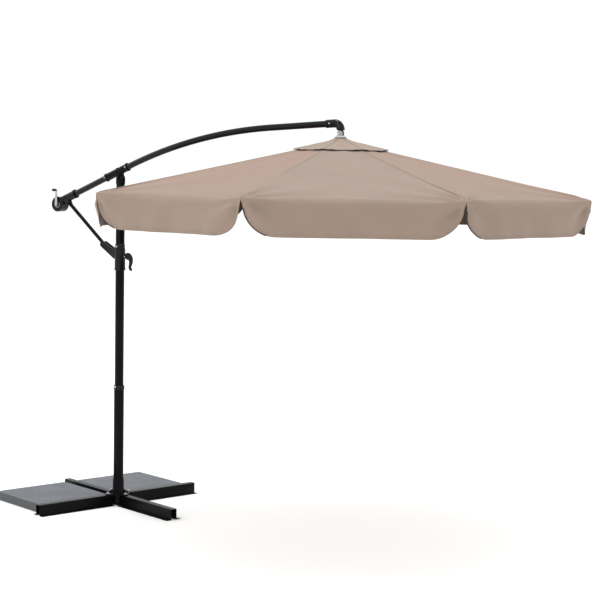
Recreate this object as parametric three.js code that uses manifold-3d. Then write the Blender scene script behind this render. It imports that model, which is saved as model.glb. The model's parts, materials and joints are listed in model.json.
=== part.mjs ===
// Cantilever patio umbrella with a cross base and two ballast slabs.
// Millimetres, +Z up, the pole's axis on Z, the floor at Z = 0, the boom towards +X.
import * as THREE from "three";
import * as BufferGeometryUtils from "three/addons/utils/BufferGeometryUtils.js";
import Module from "manifold-3d";

const wasm = await Module();
wasm.setup();

const degrees = THREE.MathUtils.degToRad;

// ---------------------------------------------------------------- driving dimensions

const GAP = 0.3; // between pieces that touch

// Cross base
const BASE_TURN = degrees(-15); // the cross against the boom's direction
const ARM_REACH = 620; // from the pole's axis to an arm's free end
const ARM_START = 62; // from the pole's axis to an arm's inner end
const ARM_HEIGHT = 70;
const ARM_TOP_HALF = 22; // half the width of an arm's raised channel
const ARM_FOOT_HALF = 55; // half the width over an arm's two flanges
const ARM_SHEET = 3;
const HUB_FOOT_RADIUS = 57; // the hub's foot under the pole
const HUB_NECK_RADIUS = 40;
const HUB_FOOT_HEIGHT = 6;
const SLAB_SIDE = 530;
const SLAB_THICKNESS = 56;
const SLAB_CORNER = 28;
const SLAB_TO_ARM = 25; // from an arm's channel wall to a slab's edge

// Pole foot
const FOOT_PLATE_HALF_DIAGONAL = 106;
const FOOT_PLATE_THICKNESS = 6;
const FOOT_SOCKET_HEIGHT = 92;
const FOOT_SOCKET_WALL = 4;
const FOOT_GUSSET_HEIGHT = 74;
const FOOT_GUSSET_REACH = 30; // from the socket's wall outwards
const FOOT_GUSSET_THICKNESS = 6;
const FOOT_BOLT_CIRCLE = 82;
const FOOT_BOLT_RADIUS = 4.8;
const FOOT_BOLT_HEAD_RADIUS = 9.5;
const FOOT_BOLT_HEAD_HEIGHT = 7;

// Pole
const UPPER_POLE_RADIUS = 29;
const POLE_WALL = 2.5;
const POLE_ROOM = 1.5; // between the upper pole and the lower one round it
const LOWER_POLE_RADIUS = UPPER_POLE_RADIUS + POLE_WALL + POLE_ROOM;
const HEAD_POST_RADIUS = 23.5;
const JOINT_HEIGHT = 780; // top of the lower pole
const POLE_OVERLAP = 90; // upper pole inside the lower one
const UPPER_POLE_TOP = 1950;
const HEAD_POST_OVERLAP = 110; // head post inside the upper pole
const JOINT_COLLAR_HEIGHT = 28;
const JOINT_COLLAR_WALL = 3;
const JOINT_SCREW_RADIUS = 4; // of its head's flat top
const JOINT_SCREW_HEAD_RADIUS = 6.5;
const JOINT_SCREW_RISE = 6; // from the lower pole's top up to the screw
const REDUCER_HEIGHT = 20;

// Pole head and the boom's pivot
const PIVOT_HEIGHT = 2161;
const HEAD_CHEEK_RADIUS = 18;
const HEAD_CHEEK_THICKNESS = 6;
const HEAD_CHEEK_ROOM = 1.2; // between a cheek and the bracket's neck
const HEAD_RING_WALL = 3.8;
const HEAD_RING_HEIGHT = 42;
const HEAD_RING_TOP_DROP = 34; // from the pivot down to the head ring's top
const PIVOT_BOLT_RADIUS = 5;
const BOLT_HEAD_RADIUS = 9.5;
const BOLT_HEAD_HEIGHT = 5;
const PIN_SEAT = 0.5; // how far a pin's head is let into the plate under it

// Boom
const BOOM_RADIUS = 20;
const BOOM_WALL = 2;
const BOOM_SLOPE = degrees(22.2); // of the straight rear part
const BOOM_TIP_SLOPE = degrees(3);
const BOOM_ARC_RADIUS = 3500;
const BOOM_OFFSET = 44; // from the pivot up to the boom's centre line
const BOOM_REAR = 455; // straight length behind the pivot
const BOOM_FRONT = 82; // straight length before the arc starts
const BRACKET_REAR = 100; // the bracket's sleeve behind the pivot
const BRACKET_FRONT = 75;
const BRACKET_WALL = 5;
const BRACKET_NECK_HALF = 18;
const BRACKET_EYE_RADIUS = 16;
const BOOM_RING_LENGTH = 13;
const BOOM_RING_WALL = 8;
const HUB_REACH = 1700; // from the pole's axis to the canopy's axis
const ELBOW_BEND_RADIUS = 40;
const ELBOW_WALL = 5;
const ELBOW_SLEEVE = 58; // straight part of the elbow
const ELBOW_SOCKET = 46; // how far the boom goes in

// Canopy's hanging joint and hubs
const HANG_DROP = 24; // from the elbow's end face to the hang pin
const HANG_PIN_RADIUS = 4;
const HANG_PIN_HEAD_RADIUS = 7;
const HANG_PIN_HEAD_HEIGHT = 3;
const TONGUE_HALF = 8;
const TONGUE_RADIUS = 14;
const CONNECTOR_RADIUS = 21;
const CONNECTOR_HEIGHT = 36; // below the hang pin
const STEM_RADIUS = 12;
const SKIRT_RADIUS = 41;
const SKIRT_HEIGHT = 12;
const SKIRT_DROP = 20; // from the hang pin down to the skirt's lower edge
const CROWN_DROP = 62.5; // from the hang pin down to the ribs' pins
const CROWN_RADIUS = 58;
const CROWN_HALF_HEIGHT = 13;
const RIB_PIN_CIRCLE = 45; // from the canopy's axis to a rib's pin
const RIB_PIN_RADIUS = 2.5;
const NUT_RADIUS = 19;
const NUT_HEIGHT = 9;

// Ribs and stretchers
const RIB_COUNT = 8;
const CANOPY_TURN = degrees(13); // first rib against the boom's direction
const RIB_SLOPE = degrees(12);
const RIB_TIP_INSET = 18; // from the canopy's corner back to a rib's end
const RIB_HALF_WIDTH = 5;
const RIB_HALF_HEIGHT = 8;
const RIB_WALL = 1;
const RIB_TUBE_START = 20; // from the rib's pin to its tube
const RIB_EYE_RADIUS = 7;
const RIB_EYE_HALF = 3;
const STRETCHER_AT = 620; // along a rib, from its pin
const STRETCHER_DROP = 15; // from a rib's centre line to the stretcher's pin
const STRETCHER_HALF_WIDTH = 4;
const STRETCHER_HALF_HEIGHT = 6;
const STRETCHER_PIN_RADIUS = 3;
const CLEVIS_PLATE = 2.5;
const CLEVIS_RADIUS = 8;
const SLOT_CLEARANCE = 0.5;
const RUNNER_RADIUS = 58;
const RUNNER_HALF_HEIGHT = 10;

// Canopy cloth
const CANOPY_RADIUS = 1500; // to the octagon's corners
const CLOTH = 4;
const CLOTH_ABOVE_RIB = 1.5;
const VENT_RADIUS = 180; // hole in the top, to its corners
const VALANCE_DEPTH = 200;
const FLAP_CORNER = 120; // rounding of a flap's lower corners
const FLAP_SLIT = 8;
const CAP_RADIUS = 310;
const CAP_EDGE_DROP = 81; // from the hang pin down to the vent cap's edge
const CAP_TOP_RADIUS = 26;
const CAP_TOP_DROP = 18;

// Slider on the pole
const SLIDER_BOTTOM = 1557;
const SLIDER_LENGTH = 141;
const SLIDER_WALL = 5.6;
const SLIDER_CLEARANCE = 0.4;
const SLIDER_LIP = 2;
const COLLAR_LENGTH = 30;
const COLLAR_WALL = 3;
const FORK_REACH = 138; // from the pole's axis to the strut's lower pivot
const FORK_HEIGHT = 1722;
const FORK_RADIUS = 20;
const FORK_PLATE = 6;
const FORK_WEB = 42; // the fork's solid root, from the sleeve outwards
const FORK_RISE = 66; // from the fork's root up to the strut's lower pivot
const LEVER_REACH = 52;
const LEVER_HEIGHT = 1648;
const LEVER_HALF = 8;
const LEVER_LUG = 5;
const LEVER_LENGTH = 84;
const LEVER_PIN_RADIUS = 3;
const LEVER_PIN_HEAD_RADIUS = 5.5;
const LEVER_PIN_HEAD_HEIGHT = 3;

// Strut
const STRUT_RADIUS = 12;
const STRUT_WALL = 2;
const STRUT_BACK = 22.4; // from the boom's rear end back to the strut's upper pivot
const STRUT_EYE_ROOM = 3.4; // between the strut's eye and the crank housing
const STRUT_EYE_HALF = 6;
const STRUT_EYE_RADIUS = 11;
const STRUT_EYE_LENGTH = 28;
const LUG_PLATE = 5;
const LUG_RADIUS = 13;

// Crank
const DRUM_RADIUS = 50;
const DRUM_HALF_WIDTH = 30;
const DRUM_WALL = 5;
const DRUM_BACK = 104; // from the boom's rear end to the drum's axis
const DRUM_BELOW = 15; // from the boom's centre line to the drum's axis
const HOUSING_WALL = 7;
const HOUSING_MOUTH = 55; // how far the boom goes in
const COVER_THICKNESS = 4;
const CRANK_SHAFT_RADIUS = 6;
const CRANK_LENGTH = 95;
const CRANK_ARM_HALF = 7;
const CRANK_ARM_THICKNESS = 6;
const CRANK_ARM_GAP = 8; // from the drum's face to the crank arm
const KNOB_RADIUS = 9;
const KNOB_LENGTH = 34;
const KNOB_PIN_RADIUS = 3;
const SPOOL_RADIUS = 38;
const SPOOL_CORE_RADIUS = 20;
const SPOOL_FLANGE = 3;
const SPOOL_ROOM = 3; // between the spool and the drum's walls

// ---------------------------------------------------------------- materials

function finish(color, roughness, metalness) {
  return new THREE.MeshStandardMaterial({ color, roughness, metalness });
}

const powderCoat = finish(0x1b1c1e, 0.45, 0.4);
const blackPlastic = finish(0x141416, 0.5, 0.0);
const zinc = finish(0xc4c6c9, 0.3, 1.0);
const chrome = finish(0xdcdfe2, 0.12, 1.0);
const stone = finish(0x7f858d, 0.85, 0.0);
const clearPlastic = finish(0xc9ccce, 0.35, 0.0);
const whitePlastic = finish(0xe6e4e0, 0.45, 0.0);
const taupeCloth = finish(0xbeaa98, 0.9, 0.0);

// ---------------------------------------------------------------- solids

// A closed three.js geometry as a solid, and a solid as a geometry.
function solid(geometry) {
  const plain = geometry.index ? geometry.clone() : BufferGeometryUtils.mergeVertices(geometry);
  plain.deleteAttribute("normal");
  plain.deleteAttribute("uv");
  const merged = BufferGeometryUtils.mergeVertices(plain, 1e-4);
  const mesh = new wasm.Mesh({
    numProp: 3,
    vertProperties: new Float32Array(merged.attributes.position.array),
    triVerts: new Uint32Array(merged.index.array),
  });
  return new wasm.Manifold(mesh);
}

function geometryOf(body) {
  const mesh = body.getMesh();
  const geometry = new THREE.BufferGeometry();
  geometry.setAttribute("position", new THREE.BufferAttribute(new Float32Array(mesh.vertProperties), 3));
  geometry.setIndex(new THREE.BufferAttribute(new Uint32Array(mesh.triVerts), 1));
  geometry.computeVertexNormals();
  return geometry;
}

function join(...geometries) {
  return geometries.map(solid).reduce((whole, next) => whole.add(next));
}

function cut(body, ...geometries) {
  return geometries.map(solid).reduce((whole, next) => whole.subtract(next), body);
}

// A profile of [radius, z] pairs turned round Z. It starts and ends on the axis, or it closes on itself.
function turned(profile, segments = 28) {
  const points = profile.map(([radius, z]) => new THREE.Vector2(radius, z));
  return new THREE.LatheGeometry(points, segments).rotateX(Math.PI / 2).rotateZ(Math.PI / 2);
}

function disc(radius, z0, z1, segments = 28) {
  return turned([[0, z0], [radius, z0], [radius, z1], [0, z1]], segments);
}

function pipe(outer, inner, z0, z1, segments = 28) {
  return turned([[inner, z0], [outer, z0], [outer, z1], [inner, z1], [inner, z0]], segments);
}

// Turned shapes laid along X or Y.
function alongX(geometry) {
  return geometry.rotateY(Math.PI / 2);
}

function alongY(geometry) {
  return geometry.rotateX(-Math.PI / 2);
}

function box(x0, x1, y0, y1, z0, z1) {
  const geometry = new THREE.BoxGeometry(x1 - x0, y1 - y0, z1 - z0);
  return geometry.translate((x0 + x1) / 2, (y0 + y1) / 2, (z0 + z1) / 2);
}

// An outline drawn in X and Z, made thick along Y from y0 to y1.
function plateXZ(shape, y0, y1, curveSegments = 5) {
  const geometry = new THREE.ExtrudeGeometry(shape, { depth: y1 - y0, bevelEnabled: false, curveSegments });
  return geometry.rotateX(Math.PI / 2).translate(0, y1, 0);
}

// An outline drawn in X and Y, made thick along Z.
function plateXY(shape, z0, z1, curveSegments = 10) {
  const geometry = new THREE.ExtrudeGeometry(shape, { depth: z1 - z0, bevelEnabled: false, curveSegments });
  return geometry.translate(0, 0, z0);
}

// Two round ends joined by their tangents: a link, an eye plate or a cheek.
function linkShape(x0, z0, r0, x1, z1, r1) {
  const angle = Math.atan2(z1 - z0, x1 - x0);
  const lean = Math.acos((r0 - r1) / Math.hypot(x1 - x0, z1 - z0));
  const shape = new THREE.Shape();
  shape.absarc(x0, z0, r0, angle + lean, angle - lean, false);
  shape.absarc(x1, z1, r1, angle - lean, angle + lean, false);
  shape.closePath();
  return shape;
}

function mesh(name, body, material) {
  const geometry = body.getMesh ? geometryOf(body) : body;
  const piece = new THREE.Mesh(geometry, material);
  piece.name = name;
  return piece;
}

// A bolt along Z with a head at each end of its shank, hexagonal unless more sides are asked for.
function bolt(radius, z0, z1, headRadius, headHeight, sides = 6) {
  return turned(
    [
      [0, z0 - headHeight], [headRadius, z0 - headHeight], [headRadius, z0], [radius, z0],
      [radius, z1], [headRadius, z1], [headRadius, z1 + headHeight], [0, z1 + headHeight],
    ],
    sides,
  );
}

// A round pin along Y, its heads' inner faces let into two plates whose outer faces lie at y = -seat and seat.
function crossPin(radius, seat, headRadius, headHeight) {
  return solid(alongY(bolt(radius, -seat + PIN_SEAT, seat - PIN_SEAT, headRadius, headHeight + PIN_SEAT, 16)));
}

// ---------------------------------------------------------------- cross base

const armTop = ARM_HEIGHT;
const footPlateBottom = armTop + GAP;
const footPlateTop = footPlateBottom + FOOT_PLATE_THICKNESS;

function crossHub() {
  const profile = [
    [0, 0], [HUB_FOOT_RADIUS, 0], [HUB_FOOT_RADIUS, HUB_FOOT_HEIGHT], [HUB_NECK_RADIUS, HUB_FOOT_HEIGHT + 3],
    [HUB_NECK_RADIUS, ARM_HEIGHT], [0, ARM_HEIGHT],
  ];
  return mesh("cross_hub", turned(profile), powderCoat);
}

// Folded sheet: a raised channel with a flange along each side, open below.
function armGeometry() {
  const top = ARM_HEIGHT;
  const wall = ARM_TOP_HALF - ARM_SHEET;
  const outline = [
    [-ARM_FOOT_HALF, 0], [-wall, 0], [-wall, top - ARM_SHEET], [wall, top - ARM_SHEET], [wall, 0],
    [ARM_FOOT_HALF, 0], [ARM_FOOT_HALF, ARM_SHEET], [ARM_TOP_HALF, ARM_SHEET], [ARM_TOP_HALF, top],
    [-ARM_TOP_HALF, top], [-ARM_TOP_HALF, ARM_SHEET], [-ARM_FOOT_HALF, ARM_SHEET],
  ];
  const shape = new THREE.Shape(outline.map(([y, z]) => new THREE.Vector2(y, z)));
  const depth = ARM_REACH - ARM_START;
  const geometry = new THREE.ExtrudeGeometry(shape, { depth, bevelEnabled: false });
  const along = geometry.rotateX(Math.PI / 2).rotateZ(Math.PI / 2).translate(ARM_START, 0, 0);
  const hole = disc(FOOT_BOLT_RADIUS + GAP, top - 2 * ARM_SHEET, top + 1, 16).translate(FOOT_BOLT_CIRCLE, 0, 0);
  return geometryOf(cut(solid(along), hole));
}

function crossArms() {
  const shared = armGeometry();
  return [1, 2, 3, 4].map((number) => {
    const arm = mesh(`cross_arm_${number}`, shared.clone(), powderCoat);
    arm.rotation.z = ((number - 1) * Math.PI) / 2;
    return arm;
  });
}

function slab(name, quarterTurns) {
  const near = ARM_TOP_HALF + SLAB_TO_ARM;
  const far = near + SLAB_SIDE;
  const shape = new THREE.Shape();
  shape.absarc(far - SLAB_CORNER, far - SLAB_CORNER, SLAB_CORNER, 0, Math.PI / 2, false);
  shape.absarc(near + SLAB_CORNER, far - SLAB_CORNER, SLAB_CORNER, Math.PI / 2, Math.PI, false);
  shape.absarc(near + SLAB_CORNER, near + SLAB_CORNER, SLAB_CORNER, Math.PI, 1.5 * Math.PI, false);
  shape.absarc(far - SLAB_CORNER, near + SLAB_CORNER, SLAB_CORNER, 1.5 * Math.PI, 2 * Math.PI, false);
  const bottom = ARM_SHEET + GAP;
  const piece = mesh(name, plateXY(shape, bottom, bottom + SLAB_THICKNESS, 6), stone);
  piece.rotation.z = (quarterTurns * Math.PI) / 2;
  return piece;
}

function poleFoot() {
  const half = FOOT_PLATE_HALF_DIAGONAL;
  const round = 14;
  const plate = new THREE.Shape();
  plate.moveTo(half - round, -round);
  plate.quadraticCurveTo(half, 0, half - round, round);
  plate.lineTo(round, half - round);
  plate.quadraticCurveTo(0, half, -round, half - round);
  plate.lineTo(-half + round, round);
  plate.quadraticCurveTo(-half, 0, -half + round, -round);
  plate.lineTo(-round, -half + round);
  plate.quadraticCurveTo(0, -half, round, -half + round);
  plate.closePath();
  const inner = LOWER_POLE_RADIUS + GAP;
  const outer = inner + FOOT_SOCKET_WALL;
  const socketTop = footPlateTop + FOOT_SOCKET_HEIGHT;
  let body = join(plateXY(plate, footPlateBottom, footPlateTop, 4), disc(outer, footPlateTop - 1, socketTop));
  const gusset = new THREE.Shape();
  gusset.moveTo(inner + 1, footPlateTop - 1);
  gusset.lineTo(outer + FOOT_GUSSET_REACH, footPlateTop - 1);
  gusset.lineTo(outer + FOOT_GUSSET_REACH, footPlateTop + 8);
  gusset.lineTo(outer + 2, footPlateTop + FOOT_GUSSET_HEIGHT);
  gusset.lineTo(inner + 1, footPlateTop + FOOT_GUSSET_HEIGHT);
  gusset.closePath();
  const half2 = FOOT_GUSSET_THICKNESS / 2;
  for (let quarter = 0; quarter < 4; quarter++) {
    const turn = Math.PI / 4 + (quarter * Math.PI) / 2;
    body = body.add(solid(plateXZ(gusset, -half2, half2).rotateZ(turn)));
  }
  body = cut(body, disc(inner, footPlateTop, socketTop + 1));
  for (let quarter = 0; quarter < 4; quarter++) {
    const hole = disc(FOOT_BOLT_RADIUS + GAP, footPlateBottom - 1, footPlateTop + 1, 16);
    const turn = (quarter * Math.PI) / 2;
    body = cut(body, hole.translate(FOOT_BOLT_CIRCLE, 0, 0).rotateZ(turn));
  }
  return mesh("pole_foot", body, powderCoat);
}

function footBolts() {
  const under = armTop - ARM_SHEET - GAP;
  const shared = bolt(FOOT_BOLT_RADIUS, under, footPlateTop + GAP, FOOT_BOLT_HEAD_RADIUS, FOOT_BOLT_HEAD_HEIGHT);
  return [1, 2, 3, 4].map((number) => {
    const piece = mesh(`foot_bolt_${number}`, shared.clone(), zinc);
    const turn = ((number - 1) * Math.PI) / 2;
    piece.position.set(FOOT_BOLT_CIRCLE * Math.cos(turn), FOOT_BOLT_CIRCLE * Math.sin(turn), 0);
    piece.rotation.z = turn;
    return piece;
  });
}

function crossBase() {
  const base = new THREE.Group();
  base.rotation.z = BASE_TURN;
  base.add(crossHub(), ...crossArms(), poleFoot(), ...footBolts());
  base.add(slab("ballast_slab_1", 1), slab("ballast_slab_2", 2));
  return base;
}

// ---------------------------------------------------------------- pole

const lowerPoleBottom = footPlateTop + GAP;
const reducerBottom = UPPER_POLE_TOP + GAP;
const headPostTop = PIVOT_HEIGHT - HEAD_RING_TOP_DROP - 2 * HEAD_RING_WALL;

function pole() {
  const lowerPole = pipe(LOWER_POLE_RADIUS, LOWER_POLE_RADIUS - POLE_WALL, lowerPoleBottom, JOINT_HEIGHT);
  const upperBottom = JOINT_HEIGHT - POLE_OVERLAP;
  const upperPole = pipe(UPPER_POLE_RADIUS, UPPER_POLE_RADIUS - POLE_WALL, upperBottom, UPPER_POLE_TOP);
  return [mesh("lower_pole", lowerPole, powderCoat), mesh("upper_pole", upperPole, powderCoat)];
}

// Grips the top of the lower pole and closes the step to the upper pole. Its screw's head is on the -Y side.
function jointCollar() {
  const outer = LOWER_POLE_RADIUS + JOINT_COLLAR_WALL;
  const bottom = JOINT_HEIGHT - JOINT_COLLAR_HEIGHT / 2;
  const top = bottom + JOINT_COLLAR_HEIGHT;
  const profile = [
    [LOWER_POLE_RADIUS + GAP, bottom], [outer, bottom], [outer, top - 3], [outer - 3, top],
    [UPPER_POLE_RADIUS + GAP, top], [UPPER_POLE_RADIUS + GAP, JOINT_HEIGHT + GAP],
    [LOWER_POLE_RADIUS + GAP, JOINT_HEIGHT + GAP], [LOWER_POLE_RADIUS + GAP, bottom],
  ];
  const neck = JOINT_SCREW_RADIUS;
  const head = JOINT_SCREW_HEAD_RADIUS;
  const screw = alongY(
    turned([[0, outer - 3], [head, outer - 3], [head, outer + 2], [neck, outer + 4], [0, outer + 4]], 12),
  );
  screw.rotateZ(-Math.PI).translate(0, 0, JOINT_HEIGHT + JOINT_SCREW_RISE);
  return mesh("joint_collar", join(turned(profile), screw), powderCoat);
}

// A tube with a wider foot that fills the upper pole, and a tapered shoulder on top of that pole.
function headPost() {
  const inner = HEAD_POST_RADIUS - 3;
  const foot = UPPER_POLE_RADIUS - POLE_WALL - GAP;
  const shoulder = UPPER_POLE_RADIUS + 1.5;
  const bottom = UPPER_POLE_TOP - HEAD_POST_OVERLAP;
  const profile = [
    [inner, bottom], [foot, bottom], [foot, reducerBottom], [shoulder, reducerBottom],
    [shoulder, reducerBottom + REDUCER_HEIGHT / 2], [HEAD_POST_RADIUS, reducerBottom + REDUCER_HEIGHT],
    [HEAD_POST_RADIUS, headPostTop], [inner, headPostTop], [inner, bottom],
  ];
  return mesh("head_post", turned(profile), powderCoat);
}

// A ring over the head post with a cheek plate on each side of the boom's pivot, and the pivot's bolt across them.
function poleHead() {
  const inner = HEAD_POST_RADIUS + GAP;
  const outer = inner + HEAD_RING_WALL;
  const ringTop = PIVOT_HEIGHT - HEAD_RING_TOP_DROP;
  const ringBottom = ringTop - HEAD_RING_HEIGHT;
  const cheekInner = BRACKET_NECK_HALF + HEAD_CHEEK_ROOM;
  const cheekOuter = cheekInner + HEAD_CHEEK_THICKNESS;
  let body = solid(disc(outer, ringBottom, ringTop));
  const cheek = new THREE.Shape();
  cheek.absarc(0, PIVOT_HEIGHT, HEAD_CHEEK_RADIUS, 0, Math.PI, false);
  cheek.lineTo(-HEAD_CHEEK_RADIUS, ringTop - 6);
  cheek.lineTo(HEAD_CHEEK_RADIUS, ringTop - 6);
  cheek.closePath();
  body = body.add(solid(plateXZ(cheek, cheekInner, cheekOuter)));
  body = body.add(solid(plateXZ(cheek, -cheekOuter, -cheekInner)));
  const bore = disc(inner, ringBottom - 1, headPostTop + GAP);
  const pivot = crossPin(PIVOT_BOLT_RADIUS, cheekOuter, BOLT_HEAD_RADIUS, BOLT_HEAD_HEIGHT);
  return mesh("pole_head", cut(body, bore).add(pivot.translate(0, 0, PIVOT_HEIGHT)), powderCoat);
}

// ---------------------------------------------------------------- boom

// The rear part of the boom lies along the X axis of this group, and the pivot lies below its origin.
const boomFoot = new THREE.Vector3(
  -BOOM_OFFSET * Math.sin(BOOM_SLOPE), 0, PIVOT_HEIGHT + BOOM_OFFSET * Math.cos(BOOM_SLOPE),
);

// The centre line of the boom: straight, then a long arc, then straight again at the tip's slope.
const arcStart = new THREE.Vector3(
  boomFoot.x + BOOM_FRONT * Math.cos(BOOM_SLOPE), 0, boomFoot.z + BOOM_FRONT * Math.sin(BOOM_SLOPE),
);
const arcEnd = new THREE.Vector3(
  arcStart.x + BOOM_ARC_RADIUS * (Math.sin(BOOM_SLOPE) - Math.sin(BOOM_TIP_SLOPE)), 0,
  arcStart.z + BOOM_ARC_RADIUS * (Math.cos(BOOM_TIP_SLOPE) - Math.cos(BOOM_SLOPE)),
);
const bendStartX = HUB_REACH - ELBOW_BEND_RADIUS * (1 + Math.sin(BOOM_TIP_SLOPE));
const bendStart = new THREE.Vector3(bendStartX, 0, arcEnd.z + (bendStartX - arcEnd.x) * Math.tan(BOOM_TIP_SLOPE));
const tipDirection = new THREE.Vector3(Math.cos(BOOM_TIP_SLOPE), 0, Math.sin(BOOM_TIP_SLOPE));
const elbowStart = bendStart.clone().addScaledVector(tipDirection, -ELBOW_SLEEVE);
const elbowBottom = bendStart.z - ELBOW_BEND_RADIUS * Math.cos(BOOM_TIP_SLOPE);
const hangHeight = elbowBottom - HANG_DROP;

class BoomCurve extends THREE.Curve {
  getPoint(t, target = new THREE.Vector3()) {
    const turn = BOOM_SLOPE - BOOM_TIP_SLOPE;
    const straight = BOOM_FRONT - 1;
    const arc = BOOM_ARC_RADIUS * turn;
    const tip = arcEnd.distanceTo(elbowStart) + ELBOW_SOCKET - 1;
    const at = t * (straight + arc + tip);
    if (at < straight) {
      return target.copy(arcStart).add(
        new THREE.Vector3(Math.cos(BOOM_SLOPE), 0, Math.sin(BOOM_SLOPE)).multiplyScalar(at - straight),
      );
    }
    if (at < straight + arc) {
      const slope = BOOM_SLOPE - (at - straight) / BOOM_ARC_RADIUS;
      return target.set(
        arcStart.x + BOOM_ARC_RADIUS * (Math.sin(BOOM_SLOPE) - Math.sin(slope)), 0,
        arcStart.z + BOOM_ARC_RADIUS * (Math.cos(slope) - Math.cos(BOOM_SLOPE)),
      );
    }
    return target.copy(arcEnd).addScaledVector(tipDirection, at - straight - arc);
  }
}

class ElbowCurve extends THREE.Curve {
  getPoint(t, target = new THREE.Vector3()) {
    const turn = Math.PI / 2 + BOOM_TIP_SLOPE;
    const arc = ELBOW_BEND_RADIUS * turn;
    const at = t * (ELBOW_SLEEVE + arc);
    if (at < ELBOW_SLEEVE) return target.copy(elbowStart).addScaledVector(tipDirection, at);
    const slope = BOOM_TIP_SLOPE - (at - ELBOW_SLEEVE) / ELBOW_BEND_RADIUS;
    return target.set(
      bendStart.x + ELBOW_BEND_RADIUS * (Math.sin(BOOM_TIP_SLOPE) - Math.sin(slope)), 0,
      bendStart.z + ELBOW_BEND_RADIUS * (Math.cos(slope) - Math.cos(BOOM_TIP_SLOPE)),
    );
  }
}

function sweep(curve, radius, innerRadius, steps) {
  const shape = new THREE.Shape().absarc(0, 0, radius, 0, 2 * Math.PI, false);
  if (innerRadius > 0) shape.holes.push(new THREE.Path().absarc(0, 0, innerRadius, 0, 2 * Math.PI, true));
  return new THREE.ExtrudeGeometry(shape, { steps, extrudePath: curve, bevelEnabled: false, curveSegments: 10 });
}

function curvedBoom() {
  return mesh("curved_boom", sweep(new BoomCurve(), BOOM_RADIUS, BOOM_RADIUS - BOOM_WALL, 22), powderCoat);
}

// The bent end of the boom: a socket, a bend, a tongue and the pin that the canopy hangs on.
function boomElbow() {
  const outer = BOOM_RADIUS + ELBOW_WALL;
  let body = solid(sweep(new ElbowCurve(), outer, 0, 14));
  const tongue = linkShape(HUB_REACH, hangHeight, TONGUE_RADIUS, HUB_REACH, elbowBottom + 6, TONGUE_RADIUS - 0.5);
  body = body.add(solid(plateXZ(tongue, -TONGUE_HALF, TONGUE_HALF)));
  const socket = alongX(disc(BOOM_RADIUS + GAP, -5, ELBOW_SOCKET + GAP)).rotateY(-BOOM_TIP_SLOPE);
  const seat = CONNECTOR_RADIUS + GAP;
  const pin = alongY(bolt(HANG_PIN_RADIUS, -seat, seat, HANG_PIN_HEAD_RADIUS, HANG_PIN_HEAD_HEIGHT, 16));
  body = cut(body, socket.translate(elbowStart.x, 0, elbowStart.z));
  return mesh("boom_elbow", body.add(solid(pin.translate(HUB_REACH, 0, hangHeight))), powderCoat);
}

// A sleeve round the joint of the two boom tubes, with a neck down to the pivot.
function boomBracket() {
  const outer = BOOM_RADIUS + BRACKET_WALL;
  const sleeve = alongX(disc(outer, -BRACKET_REAR, BRACKET_FRONT));
  const neck = linkShape(0, -BOOM_OFFSET, BRACKET_EYE_RADIUS, 6, 0, 24);
  const web = plateXZ(neck, -BRACKET_NECK_HALF, BRACKET_NECK_HALF);
  const bore = alongX(disc(BOOM_RADIUS + GAP, -BRACKET_REAR - 1, BRACKET_FRONT + 1));
  const pivot = alongY(disc(PIVOT_BOLT_RADIUS + GAP, -40, 40, 16)).translate(0, 0, -BOOM_OFFSET);
  return mesh("boom_bracket", cut(join(sleeve, web), bore, pivot), powderCoat);
}

function lowerBoom() {
  return mesh("lower_boom", alongX(pipe(BOOM_RADIUS, BOOM_RADIUS - BOOM_WALL, -BOOM_REAR, -1)), powderCoat);
}

function boomRing(name, start) {
  const inner = BOOM_RADIUS + GAP;
  const outer = BOOM_RADIUS + BOOM_RING_WALL;
  const end = start + BOOM_RING_LENGTH;
  const profile = [
    [inner, start], [outer - 2, start], [outer, start + 2], [outer, end - 2], [outer - 2, end], [inner, end],
    [inner, start],
  ];
  return mesh(name, alongX(turned(profile)), blackPlastic);
}

// ---------------------------------------------------------------- crank

const drumX = -BOOM_REAR - DRUM_BACK;
const drumZ = -DRUM_BELOW;

const strutTopX = -BOOM_REAR - STRUT_BACK;
const strutTopZ = -BOOM_RADIUS - HOUSING_WALL - STRUT_EYE_ROOM - STRUT_EYE_RADIUS;

// A drum for the spool, a socket for the boom's end, and two lugs with the strut's pin, in one casting.
function crankHousing() {
  const socketOuter = BOOM_RADIUS + HOUSING_WALL;
  const mouth = -BOOM_REAR + HOUSING_MOUTH;
  const socket = alongX(disc(socketOuter, drumX + DRUM_RADIUS / 2, mouth));
  const mouthRing = alongX(disc(socketOuter + 3, mouth - 14, mouth));
  const drum = alongY(disc(DRUM_RADIUS, -DRUM_HALF_WIDTH, DRUM_HALF_WIDTH, 48)).translate(drumX, 0, drumZ);
  const lug = linkShape(strutTopX, strutTopZ, LUG_RADIUS, strutTopX - 2, -10, 14);
  const lugInner = STRUT_EYE_HALF + SLOT_CLEARANCE;
  const lugOuter = lugInner + LUG_PLATE;
  const near = plateXZ(lug, -lugOuter, -lugInner);
  const far = plateXZ(lug, lugInner, lugOuter);
  const cavityBack = DRUM_HALF_WIDTH - DRUM_WALL;
  const cavity = disc(DRUM_RADIUS - DRUM_WALL, -cavityBack, DRUM_HALF_WIDTH + 1, 48);
  const hollow = alongY(cavity).rotateZ(Math.PI).translate(drumX, 0, drumZ);
  const bore = alongX(disc(BOOM_RADIUS + GAP, -BOOM_REAR - 2, mouth + 1));
  const pin = crossPin(PIVOT_BOLT_RADIUS, lugOuter, BOLT_HEAD_RADIUS, BOLT_HEAD_HEIGHT);
  const body = cut(join(socket, mouthRing, drum, near, far), hollow, bore);
  return mesh("crank_housing", body.add(pin.translate(strutTopX, 0, strutTopZ)), powderCoat);
}

// These pieces turn round the drum's axis. They are drawn along +Z and laid along -Y.
function onDrum(geometry) {
  return geometry.rotateX(Math.PI / 2).translate(drumX, 0, drumZ);
}

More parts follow.
